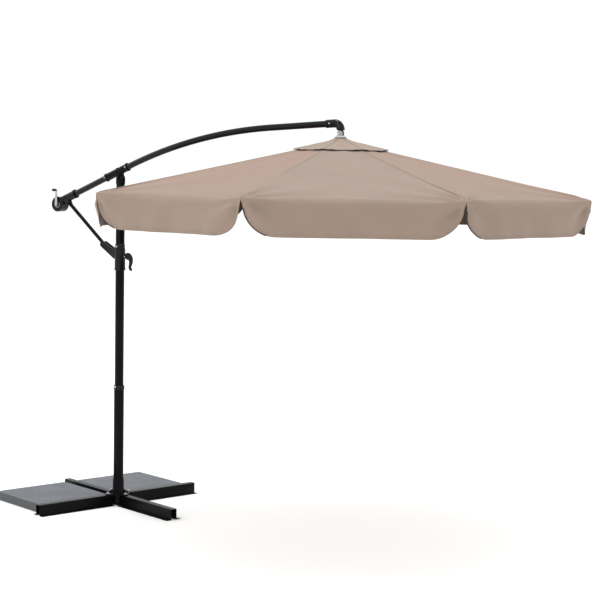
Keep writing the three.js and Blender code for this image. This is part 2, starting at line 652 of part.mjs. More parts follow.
function crankCover() {
  const outside = DRUM_HALF_WIDTH - GAP;
  const cover = pipe(
    DRUM_RADIUS - DRUM_WALL - GAP, CRANK_SHAFT_RADIUS + GAP + 0.5, outside - COVER_THICKNESS, outside, 48,
  );
  return mesh("crank_cover", onDrum(cover), blackPlastic);
}

const crankFace = DRUM_HALF_WIDTH + CRANK_ARM_GAP;

// The spool in the drum, a shaft through the cover, a flat arm and the knob's pin.
function crankArm() {
  const back = -DRUM_HALF_WIDTH + DRUM_WALL + SPOOL_ROOM;
  const front = DRUM_HALF_WIDTH - GAP - COVER_THICKNESS - SPOOL_ROOM;
  const rim = SPOOL_FLANGE;
  const spool = turned([
    [0, back], [SPOOL_RADIUS, back], [SPOOL_RADIUS, back + rim], [SPOOL_CORE_RADIUS, back + rim + 1],
    [SPOOL_CORE_RADIUS, front - rim - 1], [SPOOL_RADIUS, front - rim], [SPOOL_RADIUS, front], [0, front],
  ]);
  const shaft = disc(CRANK_SHAFT_RADIUS, front - 1, crankFace + 1, 20);
  const outline = linkShape(0, 0, CRANK_ARM_HALF + 4, 0, -CRANK_LENGTH, CRANK_ARM_HALF);
  const arm = plateXY(outline, crankFace, crankFace + CRANK_ARM_THICKNESS);
  const hub = disc(CRANK_ARM_HALF + 2, DRUM_HALF_WIDTH + 2, crankFace + CRANK_ARM_THICKNESS + 3, 20);
  const pinTop = crankFace + CRANK_ARM_THICKNESS + KNOB_LENGTH - 6;
  const pin = disc(KNOB_PIN_RADIUS, crankFace + 1, pinTop, 12).translate(0, -CRANK_LENGTH, 0);
  const whole = geometryOf(join(spool, shaft, arm, hub, pin));
  whole.rotateZ(Math.PI).rotateZ(-BOOM_SLOPE);
  return mesh("crank_arm", onDrum(whole), chrome);
}

function crankKnob() {
  const seat = crankFace + CRANK_ARM_THICKNESS + 1;
  const bore = KNOB_PIN_RADIUS + GAP;
  const bottom = seat + KNOB_LENGTH - 6;
  const top = seat + KNOB_LENGTH;
  const profile = [
    [0, bottom], [bore, bottom], [bore, seat], [KNOB_RADIUS - 2.5, seat], [KNOB_RADIUS, seat + 10],
    [KNOB_RADIUS, top - 6], [KNOB_RADIUS - 3, top - 1], [0, top],
  ];
  const knob = turned(profile, 20).translate(0, -CRANK_LENGTH, 0).rotateZ(Math.PI).rotateZ(-BOOM_SLOPE);
  return mesh("crank_knob", onDrum(knob), blackPlastic);
}

function rearBoom() {
  const group = new THREE.Group();
  group.position.copy(boomFoot);
  group.rotation.y = -BOOM_SLOPE;
  group.add(boomBracket(), lowerBoom());
  group.add(boomRing("boom_ring_rear", -BRACKET_REAR - GAP - BOOM_RING_LENGTH));
  group.add(boomRing("boom_ring_front", BRACKET_FRONT + GAP));
  group.add(crankHousing(), crankCover(), crankArm(), crankKnob());
  return group;
}

// ---------------------------------------------------------------- strut and slider

// A tube with a flat eye at its upper end. Its lower end stands open between the slider's fork plates.
function strut() {
  const topX = boomFoot.x + strutTopX * Math.cos(BOOM_SLOPE) - strutTopZ * Math.sin(BOOM_SLOPE);
  const topZ = boomFoot.z + strutTopX * Math.sin(BOOM_SLOPE) + strutTopZ * Math.cos(BOOM_SLOPE);
  const length = Math.hypot(-FORK_REACH - topX, FORK_HEIGHT - topZ);
  const slope = Math.atan2(FORK_HEIGHT - topZ, -FORK_REACH - topX);
  const tube = alongX(pipe(STRUT_RADIUS, STRUT_RADIUS - STRUT_WALL, STRUT_EYE_LENGTH, length + 4, 24));
  const plug = alongX(disc(STRUT_RADIUS - 1, STRUT_EYE_LENGTH, STRUT_EYE_LENGTH + 14, 24));
  const outline = linkShape(0, 0, STRUT_EYE_RADIUS, STRUT_EYE_LENGTH + 4, 0, STRUT_EYE_RADIUS - 0.5);
  const eye = plateXZ(outline, -STRUT_EYE_HALF, STRUT_EYE_HALF);
  const hole = alongY(disc(PIVOT_BOLT_RADIUS + GAP, -30, 30, 16));
  const piece = mesh("strut", cut(join(tube, plug, eye), hole), powderCoat);
  piece.position.set(topX, 0, topZ);
  piece.rotation.y = -slope;
  return piece;
}

const sliderInner = UPPER_POLE_RADIUS + SLIDER_CLEARANCE;
const sliderOuter = sliderInner + SLIDER_WALL;
const sliderTop = SLIDER_BOTTOM + SLIDER_LENGTH;

// A sleeve with a fork for the strut on one side, and two lugs with the lock lever's pin on the other.
function sliderSleeve() {
  const lip = sliderOuter + SLIDER_LIP;
  const sleeve = turned([
    [0, SLIDER_BOTTOM], [lip, SLIDER_BOTTOM], [lip, SLIDER_BOTTOM + 8], [sliderOuter, SLIDER_BOTTOM + 14],
    [sliderOuter, sliderTop], [0, sliderTop],
  ]);
  const root = FORK_HEIGHT - FORK_RISE;
  const plate = linkShape(-FORK_REACH, FORK_HEIGHT, FORK_RADIUS, -sliderInner, root, FORK_RADIUS + 6);
  const inner = STRUT_RADIUS + 1;
  const near = plateXZ(plate, -inner - FORK_PLATE, -inner);
  const far = plateXZ(plate, inner, inner + FORK_PLATE);
  const webEnd = sliderOuter + FORK_WEB;
  const rise = Math.atan2(FORK_RISE, FORK_REACH - sliderInner);
  const web = box(-webEnd, 0, -inner - 1, inner + 1, -FORK_RADIUS + 2, FORK_RADIUS - 2);
  web.rotateY(rise).translate(0, 0, root - Math.tan(rise) * sliderInner);
  const lug = linkShape(LEVER_REACH, LEVER_HEIGHT, 10, sliderInner, LEVER_HEIGHT, 16);
  const lugInner = LEVER_HALF + SLOT_CLEARANCE;
  const nearLug = plateXZ(lug, -lugInner - LEVER_LUG, -lugInner);
  const farLug = plateXZ(lug, lugInner, lugInner + LEVER_LUG);
  const bore = disc(sliderInner, SLIDER_BOTTOM - 1, sliderTop + 40);
  const pin = crossPin(LEVER_PIN_RADIUS, lugInner + LEVER_LUG, LEVER_PIN_HEAD_RADIUS, LEVER_PIN_HEAD_HEIGHT);
  const body = cut(join(sleeve, near, far, web, nearLug, farLug), bore);
  return mesh("slider_sleeve", body.add(pin.translate(LEVER_REACH, 0, LEVER_HEIGHT)), powderCoat);
}

function sliderCollar() {
  const bottom = sliderTop + GAP;
  const outer = sliderInner + COLLAR_WALL;
  const top = bottom + COLLAR_LENGTH;
  const profile = [
    [sliderInner, bottom], [outer, bottom], [outer, top - 2], [outer - 2, top], [sliderInner, top],
    [sliderInner, bottom],
  ];
  // The fork's plates rise beside the collar, so the collar is trimmed clear of them.
  const plateRoom = STRUT_RADIUS + 1 + FORK_PLATE + GAP;
  const trim = box(-FORK_REACH, -sliderInner + 6, -plateRoom, plateRoom, bottom - 1, bottom + 14);
  return mesh("slider_collar", cut(solid(turned(profile)), trim), blackPlastic);
}

// A cam on the pin and a curved handle that hangs down beside the sleeve.
function lockLever() {
  const shape = new THREE.Shape();
  shape.absarc(0, 0, 9, Math.PI, 0.15 * Math.PI, true);
  shape.bezierCurveTo(28, -6, 36, -30, 30, -LEVER_LENGTH);
  shape.lineTo(22, -LEVER_LENGTH - 2);
  shape.bezierCurveTo(26, -34, 18, -18, 2, -9);
  shape.closePath();
  const hole = alongY(disc(LEVER_PIN_RADIUS + GAP, -30, 30, 12));
  const piece = mesh("lock_lever", cut(solid(plateXZ(shape, -LEVER_HALF, LEVER_HALF)), hole), blackPlastic);
  piece.position.set(LEVER_REACH, 0, LEVER_HEIGHT);
  return piece;
}

// ---------------------------------------------------------------- canopy frame

// In this group the canopy's axis is Z and the ribs' pins lie at Z = 0.
const ribPinHeight = hangHeight - CROWN_DROP;
const hangZ = CROWN_DROP;
const stretcherReach = Math.hypot(STRETCHER_AT, STRETCHER_DROP);
const stretcherLean = RIB_SLOPE + Math.atan2(STRETCHER_DROP, STRETCHER_AT);
const runnerZ = -2 * stretcherReach * Math.sin(stretcherLean);

function ribAngle(number) {
  return CANOPY_TURN + ((number - 1) * 2 * Math.PI) / RIB_COUNT;
}

function ribNumbers() {
  return Array.from({ length: RIB_COUNT }, (_, index) => index + 1);
}

// The upper half is two cheeks beside the elbow's tongue. The lower half carries the crown on a stem, over a nut.
function hubConnector() {
  const radius = CONNECTOR_RADIUS;
  const round = alongY(disc(radius, -radius, radius)).translate(0, 0, hangZ);
  const column = disc(radius, hangZ - CONNECTOR_HEIGHT, hangZ + radius);
  const cheeks = solid(round).intersect(solid(column));
  const lower = disc(radius, hangZ - CONNECTOR_HEIGHT, hangZ - 4);
  const stem = disc(STEM_RADIUS, -CROWN_HALF_HEIGHT - NUT_HEIGHT - 8, hangZ - CONNECTOR_HEIGHT + 1, 24);
  const slotHalf = TONGUE_HALF + SLOT_CLEARANCE;
  const slot = box(-60, 60, -slotHalf, slotHalf, hangZ - TONGUE_RADIUS - 1.5, hangZ + 60);
  const pin = alongY(disc(HANG_PIN_RADIUS + GAP, -40, 40, 16)).translate(0, 0, hangZ);
  const nutTop = -CROWN_HALF_HEIGHT - GAP;
  const nut = disc(NUT_RADIUS, nutTop - NUT_HEIGHT, nutTop, 24);
  const body = cheeks.add(solid(lower)).add(solid(stem)).add(solid(nut));
  return mesh("hub_connector", cut(body, slot, pin), clearPlastic);
}

function capSkirt() {
  const edge = hangZ - SKIRT_DROP;
  const top = edge + SKIRT_HEIGHT;
  const inner = CONNECTOR_RADIUS + GAP;
  const profile = [
    [inner, top - 6], [SKIRT_RADIUS - 3, edge], [SKIRT_RADIUS, edge], [SKIRT_RADIUS, edge + 2],
    [30, top - 5], [inner + 3, top], [inner, top], [inner, top - 6],
  ];
  return mesh("cap_skirt", turned(profile, 40), whitePlastic);
}

// A thick disc with a slot and a pin for each rib.
function crown() {
  const half = CROWN_HALF_HEIGHT;
  let body = cut(join(disc(CROWN_RADIUS, -half, half, 48)), disc(STEM_RADIUS + GAP, -half - 1, half + 1, 24));
  const slotHalf = RIB_EYE_HALF + SLOT_CLEARANCE;
  for (const number of ribNumbers()) {
    const slot = box(RIB_PIN_CIRCLE - 12, CROWN_RADIUS + 10, -slotHalf, slotHalf, -half - 1, half + 1);
    body = cut(body, slot.rotateZ(ribAngle(number)));
  }
  for (const number of ribNumbers()) {
    const pin = alongY(disc(RIB_PIN_RADIUS, -slotHalf - 2, slotHalf + 2, 12)).translate(RIB_PIN_CIRCLE, 0, 0);
    body = body.add(solid(pin.rotateZ(ribAngle(number))));
  }
  return mesh("crown", body, blackPlastic);
}

// The lower hub: slots take the stretchers' inner ends.
function runner() {
  const half = RUNNER_HALF_HEIGHT;
  const profile = [
    [7, -half - 26], [15, -half - 26], [18, -half - 20], [22, -half], [RUNNER_RADIUS, -half],
    [RUNNER_RADIUS, half], [22, half], [18, half + 8], [7, half + 8], [7, -half - 26],
  ];
  let body = solid(turned(profile, 48));
  const slotHalf = STRETCHER_HALF_WIDTH + SLOT_CLEARANCE;
  for (const number of ribNumbers()) {
    const slot = box(RIB_PIN_CIRCLE - 12, RUNNER_RADIUS + 10, -slotHalf, slotHalf, -half - 1, half + 1);
    body = cut(body, slot.rotateZ(ribAngle(number)));
  }
  const piece = mesh("runner", body, blackPlastic);
  piece.position.z = runnerZ;
  return piece;
}

// A rectangular tube with a flat eye at the crown and a clevis and pin for the stretcher.
function ribGeometry() {
  const length = (CANOPY_RADIUS - RIB_TIP_INSET - RIB_PIN_CIRCLE) / Math.cos(RIB_SLOPE);
  const w = RIB_HALF_WIDTH;
  const h = RIB_HALF_HEIGHT;
  const tube = box(RIB_TUBE_START, length, -w, w, -h, h);
  const outline = linkShape(0, 0, RIB_EYE_RADIUS, RIB_TUBE_START + 6, 0, RIB_EYE_RADIUS - 0.5);
  const eye = plateXZ(outline, -RIB_EYE_HALF, RIB_EYE_HALF, 4);
  const inner = STRETCHER_HALF_WIDTH + SLOT_CLEARANCE;
  const outer = inner + CLEVIS_PLATE;
  const lug = linkShape(STRETCHER_AT, -STRETCHER_DROP, CLEVIS_RADIUS, STRETCHER_AT, 0, CLEVIS_RADIUS - 0.5);
  const near = plateXZ(lug, -outer, -inner, 4);
  const far = plateXZ(lug, inner, outer, 4);
  const pin = alongY(disc(STRETCHER_PIN_RADIUS, -outer, outer, 12)).translate(STRETCHER_AT, 0, -STRETCHER_DROP);
  const hollow = box(RIB_TUBE_START + 14, length + 1, -w + RIB_WALL, w - RIB_WALL, -h + RIB_WALL, h - RIB_WALL);
  const eyeHole = alongY(disc(RIB_PIN_RADIUS + GAP, -10, 10, 12));
  // The clevis plates stay below the rib's upper face.
  let body = join(tube, eye, near, far);
  body = cut(body, hollow, eyeHole, box(STRETCHER_AT - 30, STRETCHER_AT + 30, -20, 20, h, h + 30));
  return geometryOf(body.add(solid(pin)));
}

function stretcherGeometry() {
  const w = STRETCHER_HALF_WIDTH;
  const h = STRETCHER_HALF_HEIGHT;
  const outline = linkShape(0, 0, h, stretcherReach, 0, h - 0.1);
  const bar = plateXZ(outline, -w, w, 4);
  const hollow = box(14, stretcherReach - 14, -w + 1, w + 1, -h + 1.5, h - 1.5);
  const hole = alongY(disc(STRETCHER_PIN_RADIUS + GAP, -10, 10, 12));
  return geometryOf(cut(solid(bar), hollow, hole));
}

function ribsAndStretchers() {
  const ribShape = ribGeometry();
  const stretcherShape = stretcherGeometry();
  return ribNumbers().map((number) => {
    const spoke = new THREE.Group();
    spoke.rotation.z = ribAngle(number);
    const rib = mesh(`rib_${number}`, ribShape.clone(), powderCoat);
    rib.position.x = RIB_PIN_CIRCLE;
    rib.rotation.y = RIB_SLOPE;
    const stretcher = mesh(`stretcher_${number}`, stretcherShape.clone(), powderCoat);
    stretcher.position.x = RIB_PIN_CIRCLE + stretcherReach * Math.cos(stretcherLean);
    stretcher.position.z = -stretcherReach * Math.sin(stretcherLean);
    stretcher.rotation.y = Math.PI - stretcherLean;
    spoke.add(rib, stretcher);
    return spoke;
  });
}

// ---------------------------------------------------------------- cloth

// Height of the cloth's upper face over the ribs, at a distance from the canopy's axis.
function clothTop(radius) {
  const above = (RIB_HALF_HEIGHT + CLOTH_ABOVE_RIB + CLOTH) / Math.cos(RIB_SLOPE);
  return above - (radius - RIB_PIN_CIRCLE) * Math.tan(RIB_SLOPE);
}

// The gap between two flaps: a narrow slit that opens into the flaps' rounded lower corners.
function flapGap() {
  const slit = FLAP_SLIT / 2;
  const top = clothTop(CANOPY_RADIUS) - CLOTH - 8;
  const bottom = top - VALANCE_DEPTH - 20;
  const edge = clothTop(CANOPY_RADIUS) - VALANCE_DEPTH;
  const shape = new THREE.Shape();
  shape.moveTo(-slit, top);
  shape.lineTo(slit, top);
  shape.lineTo(slit + 6, edge + FLAP_CORNER);
  shape.quadraticCurveTo(slit + 16, edge + 16, slit + FLAP_CORNER, edge);
  shape.lineTo(slit + FLAP_CORNER, bottom);
  shape.lineTo(-slit - FLAP_CORNER, bottom);
  shape.lineTo(-slit - FLAP_CORNER, edge);
  shape.quadraticCurveTo(-slit - 16, edge + 16, -slit - 6, edge + FLAP_CORNER);
  shape.closePath();
  return plateXZ(shape, -60, 90, 6).rotateZ(-Math.PI / 2).translate(CANOPY_RADIUS, 0, 0);
}

// The sector between the first rib and the next one, as seen from above, less half a seam on each side.
function goreSector() {
  const half = GAP / 2;
  const turn = (2 * Math.PI) / RIB_COUNT;
  const far = 2 * CANOPY_RADIUS;
  const tip = half / Math.sin(turn / 2);
  const shape = new THREE.Shape();
  shape.moveTo(tip * Math.cos(turn / 2), tip * Math.sin(turn / 2));
  shape.lineTo(far, half);
  shape.lineTo(far * Math.cos(turn) + half * Math.sin(turn), far * Math.sin(turn) - half * Math.cos(turn));
  shape.closePath();
  return plateXY(shape, -CANOPY_RADIUS, CANOPY_RADIUS);
}

// Eight gores, each a flat roof panel between two ribs, from the vent to the rim, with its flap of the valance.
function canopyGores() {
  const drop = CLOTH / Math.cos(RIB_SLOPE);
  const edge = clothTop(CANOPY_RADIUS) - VALANCE_DEPTH;
  const wall = CLOTH / Math.cos(Math.PI / RIB_COUNT);
  const profile = [
    [VENT_RADIUS, clothTop(VENT_RADIUS) - drop], [CANOPY_RADIUS - wall, clothTop(CANOPY_RADIUS - wall) - drop],
    [CANOPY_RADIUS - wall, edge], [CANOPY_RADIUS, edge], [CANOPY_RADIUS, clothTop(CANOPY_RADIUS)],
    [VENT_RADIUS, clothTop(VENT_RADIUS)], [VENT_RADIUS, clothTop(VENT_RADIUS) - drop],
  ];
  const turn = (2 * Math.PI) / RIB_COUNT;
  const shell = solid(turned(profile, RIB_COUNT)).intersect(solid(goreSector()));
  const shared = geometryOf(cut(shell, flapGap(), flapGap().rotateZ(turn)));
  return ribNumbers().map((number) => {
    const gore = mesh(`canopy_gore_${number}`, shared.clone(), taupeCloth);
    gore.rotation.z = ribAngle(number);
    return gore;
  });
}

function ventCap() {
  const top = hangZ - CAP_TOP_DROP;
  const edge = hangZ - CAP_EDGE_DROP;
  const upper = [[CAP_TOP_RADIUS, top], [70, top - 15], [160, top - 37], [CAP_RADIUS, edge]];
  const lower = upper.map(([radius, z]) => [radius, z - CLOTH]).reverse();
  const profile = [...upper, ...lower, upper[0]].reverse();
  return mesh("vent_cap", turned(profile, RIB_COUNT).rotateZ(CANOPY_TURN), taupeCloth);
}

function canopyGroup() {
  const group = new THREE.Group();
  group.position.set(HUB_REACH, 0, ribPinHeight);
  group.add(hubConnector(), capSkirt(), crown(), runner(), ...ribsAndStretchers(), ...canopyGores(), ventCap());
  return group;
}

// ---------------------------------------------------------------- the whole umbrella

const group = new THREE.Group();
group.add(crossBase());
group.add(...pole(), jointCollar(), headPost(), poleHead());
group.add(rearBoom(), curvedBoom(), boomElbow());
group.add(strut(), sliderSleeve(), sliderCollar(), lockLever());
group.add(canopyGroup());
group.updateMatrixWorld(true);

export default group;
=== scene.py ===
import json
import math

import bmesh
import bpy
import numpy as np
from bpy.props import FloatProperty, FloatVectorProperty, PointerProperty
from mathutils import Matrix, Vector


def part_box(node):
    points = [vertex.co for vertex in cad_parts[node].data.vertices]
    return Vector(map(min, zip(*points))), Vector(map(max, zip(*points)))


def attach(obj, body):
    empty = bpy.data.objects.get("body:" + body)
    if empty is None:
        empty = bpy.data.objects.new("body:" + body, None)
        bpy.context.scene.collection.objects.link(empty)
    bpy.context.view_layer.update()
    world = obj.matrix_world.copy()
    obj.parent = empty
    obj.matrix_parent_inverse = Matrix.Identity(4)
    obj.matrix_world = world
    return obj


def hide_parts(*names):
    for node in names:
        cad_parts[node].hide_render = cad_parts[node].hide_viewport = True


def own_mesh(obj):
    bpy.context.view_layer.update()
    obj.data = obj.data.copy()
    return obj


bl_info = {
    "name": "Cantilever Parasol",
    "version": (1, 0, 0),
    "blender": (4, 5, 0),
    "location": "3D View > Sidebar > Parasol",
    "description": "Builds the finished pieces of a cantilever parasol round its measured frame",
    "category": "Object",
}

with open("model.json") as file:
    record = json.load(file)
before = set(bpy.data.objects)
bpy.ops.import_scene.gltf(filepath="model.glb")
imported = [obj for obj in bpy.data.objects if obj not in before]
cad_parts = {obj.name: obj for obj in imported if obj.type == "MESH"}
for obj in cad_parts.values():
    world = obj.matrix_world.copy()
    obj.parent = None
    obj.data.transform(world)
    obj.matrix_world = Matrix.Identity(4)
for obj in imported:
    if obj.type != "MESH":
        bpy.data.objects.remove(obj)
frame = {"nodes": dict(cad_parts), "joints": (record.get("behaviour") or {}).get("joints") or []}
NODES = frame["nodes"]
JOINTS = {joint["name"]: joint for joint in frame["joints"]}
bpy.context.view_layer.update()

RIBS = range(1, 9)
SECTOR = math.radians(45)
HALF_SECTOR = SECTOR / 2

PIVOT = Vector(JOINTS["boom_tilt"]["pos_m"])
HANG = Vector(JOINTS["canopy_hang"]["pos_m"])
DRUM = Vector(JOINTS["crank_turn"]["pos_m"])
STRUT_TOP = Vector(JOINTS["strut_swing"]["pos_m"])
LEVER_PIN = Vector(JOINTS["lever_lock"]["pos_m"])
RIB_PIN = Vector(JOINTS["rib_1_fold"]["pos_m"])
CENTRE = Vector((HANG.x, HANG.y, RIB_PIN.z))
PIN_CIRCLE = math.hypot(RIB_PIN.x - HANG.x, RIB_PIN.y)
FIRST_RIB = math.atan2(RIB_PIN.y, RIB_PIN.x - HANG.x)
RIB_SLOPE = math.radians(12)
HANGING = math.pi / 2

FOOT_PLATE = 0.006
GUSSET_SHARE = 0.3
GUSSET_CLEAR = 0.0005
POLE_WALL = 0.0022
RING_BAND = 0.003
RING_HEIGHT = 0.0035
RING_SUNK = 0.001

# Widths of the eased edges, from thin tube ends to the knob.
FINE_EASE, THIN_EASE, MOULDED_EASE, FOLDED_EASE, KNOB_EASE = 0.0006, 0.0008, 0.001, 0.0012, 0.0015
EASE_ANGLE = math.radians(40)
MERGE_DISTANCE = 2e-6
FLAT_ANGLE = math.radians(0.6)

# Heads of bolts and screws. The washer is a share of the radius, and sunk is how deep it sits in its face.
HEADS = {
    "foot_bolt": dict(radius=0.0085, height=0.0062, sides=6, washer=1.45, sunk=0.0, finish="zinc"),
    "joint_screw": dict(radius=0.0058, height=0.003, sides=24, washer=1.2, sunk=0.0015, finish="zinc"),
    "pivot_bolt": dict(radius=0.0085, height=0.0045, sides=6, washer=1.3, sunk=0.001, finish="gloss"),
    "boom_screw": dict(radius=0.0042, height=0.003, sides=24, washer=1.2, sunk=0.0004, finish="zinc"),
    "hang_pin": dict(radius=0.0062, height=0.003, sides=6, washer=1.3, sunk=0.001, finish="zinc"),
    "strut_bolt": dict(radius=0.0066, height=0.0036, sides=6, washer=1.3, sunk=0.013, finish="gloss"),
    "slider_screw": dict(radius=0.0048, height=0.0034, sides=24, washer=1.2, sunk=0.0006, finish="zinc"),
    "lever_pin": dict(radius=0.0034, height=0.0022, sides=24, washer=1.15, sunk=-0.0055, finish="zinc"),
}
WASHER_HEIGHT = 0.0012
WASHER_SIDES = 28
DOME_SHARE = 0.84
DOME_FLATNESS = 0.28
JOINT_SCREW_DROP = 0.008
# In from the elbow's rear end, its side and its top.
ELBOW_SCREW = (0.036, 0.0003, 0.026)

# Across and up from the lever's pivot, and half the thickness there.
LEVER_PATH = (
    (-0.007, -0.006, 0.017), (0.006, 0.0, 0.023), (0.021, 0.001, 0.024), (0.034, -0.008, 0.021),
    (0.041, -0.026, 0.0165), (0.039, -0.046, 0.0125), (0.034, -0.062, 0.0105), (0.034, -0.075, 0.0095),
    (0.041, -0.084, 0.0088), (0.051, -0.083, 0.008),
)
LEVER_RINGS = 44
LEVER_SIDES = 24
LEVER_HALF_WIDTH = 0.009
LEVER_FLARE = 1.15
LEVER_END_SHARE = 0.35
LEVER_END_RINGS = 3

CLOTH_SEED = 11
CAP_SEED = CLOTH_SEED + 40
CLOTH = 0.0016
CAP_CLOTH = CLOTH * 1.3
CLOTH_RISE = 0.0138
ROLL_TIGHT = 0.012
ROLL_SPREAD = 0.32
ROOF_SPACING = 0.9
SLIT = 0.022
# How far below the vent's edge the painted warm sheen on a side panel starts to fade, and ends.
WARM_TO, WARM_FROM = 0.2, 0.33
ROOF_ROWS = 60
ROLL_ROWS = 9
FLAP_ROWS = 14
HALF_COLUMNS = 34
COLUMN_SPACING = 1.6
# Length, share and chance of the waves along a flap.
FLAP_WAVES = ((0.52, 0.7, 6), (0.23, 0.3, 7))

# A thin dark strip, painted as the shadow line, runs along each flap's lower edge near the slit: its reach
# from the rib, and its radius.
SHADOW_STRIP_REACH = 0.13
SHADOW_STRIP_RADIUS = 0.0032
HEM_RADIUS = 0.0017
EDGE_SIDES = 8
EDGE_PROUD = 0.0004
HEM_STITCH_RISE = 0.014
SEAM_HALF = 0.008
SEAM_START = 0.002
SEAM_END = 0.02
SEAM_ROWS = 60
SEAM_CLOTH = 0.0006
SEAM_STITCH_SHARE = 0.62
SEAM_STITCH_RISE = 0.0013
SEAM_STITCH_START = 0.01
SEAM_STITCH_END = 0.025
SEAM_STITCH_POINTS = 40
# Across the felled seam as a share of its half width, and its height.
SEAM_SECTION = (
    (-1, 0.0001), (-0.86, 0.0011), (-0.3, 0.0014), (0, 0.002), (0.3, 0.0014), (0.86, 0.0011), (1, 0.0001),
)
STITCH_SHARE = 0.72
STITCH_THICKNESS = 0.0011

# The bell of the vent cap: its drop below the hanging pin at each radius.
CAP_RADII = (0.0, 0.026, 0.045, 0.072, 0.11, 0.147, 0.21, 0.26, 0.32)
CAP_DROPS = (0.012, 0.018, 0.028, 0.0395, 0.049, 0.056, 0.0705, 0.081, 0.094)
CAP_ROWS = 26
CAP_COLUMNS = 14
CAP_SAG = 0.005
CAP_WAVE = 0.0012
CAP_STITCH_ASIDE = 0.003
CAP_STITCH_RISE = 0.0005
CAP_STITCH_START = 0.02
CAP_STITCH_END = 0.004
CAP_STITCH_POINTS = 30

THREAD_PITCH = 0.0011
# Colour of the painted warm sheen on every other roof panel.
PAINTED_SHEEN_TINT = (0.985, 0.865, 0.815)
COAT_DUST = (0.006, 0.006, 0.0065)
BLACK_PLASTIC = (0.004, 0.004, 0.0043)
WHITE_PLASTIC = (0.5, 0.49, 0.475)
CLOUDY_PLASTIC = (0.6, 0.62, 0.63)
ZINC_COLOUR = (0.56, 0.57, 0.59)
CHROME_COLOUR = (0.5, 0.51, 0.53)
# Colour of the strip painted as the shadow line along the flap edges.
SLIT_SHADOW_COLOUR = (0.014, 0.01, 0.008)

FLOOR_RADIUS = 60.0
FLOOR_GREY = 0.97
FLOOR_GLOW = 0.14
CAMERA_PLACE = (6.731, -7.901, 2.229)
CAMERA_TURN = (123.86, -4.71, 0.97)
CAMERA_LENS = 94.27
CAMERA_SENSOR = 36.0
CAMERA_REACH = 200
WARM_LIGHT = (1.0, 0.88, 0.8)


# ---------------------------------------------------------------- shader maths


class Value:
    """A number on a shader socket. Arithmetic on it adds Math nodes to its finish."""

    def __init__(self, finish, socket):
        self.finish = finish
        self.socket = socket

    def math(self, operation, first, second=0.0):
        return self.finish.value("ShaderNodeMath", {"operation": operation}, {0: first, 1: second})

    def __add__(self, other):
        return self.math("ADD", self, other)

    def __radd__(self, other):
        return self.math("ADD", other, self)

    def __sub__(self, other):
        return self.math("SUBTRACT", self, other)

    def __rsub__(self, other):
        return self.math("SUBTRACT", other, self)

    def __mul__(self, other):
        return self.math("MULTIPLY", self, other)

    def __rmul__(self, other):
        return self.math("MULTIPLY", other, self)

    def between(self, low, high):
        """0 below low, 1 above high."""
        settings = {"interpolation_type": "SMOOTHSTEP"}
        sockets = {"Value": self, "From Min": low, "From Max": high}
        return self.finish.value("ShaderNodeMapRange", settings, sockets, "Result")


class Finish:
    """A material under construction: its nodes, and the sockets that its surface reads."""

    def __init__(self, name):
        self.material = bpy.data.materials.new(name)
        self.material.use_nodes = True
        self.tree = self.material.node_tree
        self.tree.nodes.clear()
        self.surface = self.node("ShaderNodeBsdfPrincipled")
        out = self.node("ShaderNodeOutputMaterial")
        self.tree.links.new(self.surface.outputs[0], out.inputs["Surface"])

    def node(self, kind, settings=None, sockets=None):
        """A node of that type, with its settings made first, then the values or links of its sockets."""
        made = self.tree.nodes.new(kind)
        for key, value in (settings or {}).items():
            setattr(made, key, value)
        for key, value in (sockets or {}).items():
            self.feed(made.inputs[key], value)
        return made

    def value(self, kind, settings=None, sockets=None, output=0):
        """The number that a new node gives."""
        return Value(self, self.node(kind, settings, sockets).outputs[output])

    def feed(self, socket, value):
        if isinstance(value, Value):
            value = value.socket
        if isinstance(value, bpy.types.NodeSocket):
            self.tree.links.new(value, socket)
        elif hasattr(value, "__len__") and len(value) == 3 and socket.type == "RGBA":
            socket.default_value = (*value, 1.0)
        else:
            socket.default_value = value

    def scaled(self, vector, scale):
        return self.node("ShaderNodeMapping", None, {"Vector": vector, "Scale": scale}).outputs["Vector"]

    def place(self, scale=(1.0, 1.0, 1.0)):
        """Object coordinates, scaled."""
        return self.scaled(self.node("ShaderNodeTexCoord").outputs["Object"], scale)

    def noise(self, at, scale, detail=2.0, roughness=0.5):
        sockets = {"Vector": at, "Scale": scale, "Detail": detail, "Roughness": roughness}
        return self.value("ShaderNodeTexNoise", None, sockets)

    def blend(self, amount, first, second):
        """Two colours mixed by an amount."""
        return self.node("ShaderNodeMix", {"data_type": "RGBA"}, {0: amount, 6: first, 7: second}).outputs[2]

    def bump(self, height, distance, strength=1.0, under=None):
        sockets = {"Height": height, "Distance": distance, "Strength": strength}
        if under is not None:
            sockets["Normal"] = under
        return self.node("ShaderNodeBump", None, sockets).outputs["Normal"]

    def set(self, **sockets):
        """Feeds the surface: underscores in a name stand for spaces."""
        for name, value in sockets.items():
            self.feed(self.surface.inputs[name.replace("_", " ")], value)
        return self.material


def shade(colour, share):
    return tuple(min(1.0, part * share) for part in colour)


def powder_coat(name, colour, gloss, shine):
    """Powder coat: a fine orange peel, a little dust in broad patches, slightly uneven gloss."""
    finish = Finish(name)
    at = finish.place()
    peel = finish.noise(at, 900, 2)
    patches = finish.noise(at, 7, 4, 0.6)
    specks = finish.noise(at, 2600, 1)
    dusty = patches.between(0.45, 0.8) * 0.5 + specks.between(0.62, 0.75) * 0.12
    return finish.set(
        Base_Color=finish.blend(dusty, colour, COAT_DUST),
        Roughness=gloss + patches * 0.16,
        Normal=finish.bump(peel, 0.00025, gloss * 0.6),
        Specular_IOR_Level=shine,
    )


def moulded_plastic(name, colour, gloss, grain, shine):
    """Moulded plastic: a fine spark-eroded grain and faint flow marks."""
    finish = Finish(name)
    pits = finish.noise(finish.place(), 1500, 3, 0.6)
    flow = finish.noise(finish.place((8, 8, 60)), 3, 3)
    return finish.set(
        Base_Color=finish.blend(flow.between(0.35, 0.7), colour, shade(colour, 0.8)),
        Roughness=gloss + pits * 0.12,
        Normal=finish.bump(pits, grain, 0.4),
        Specular_IOR_Level=shine,
    )


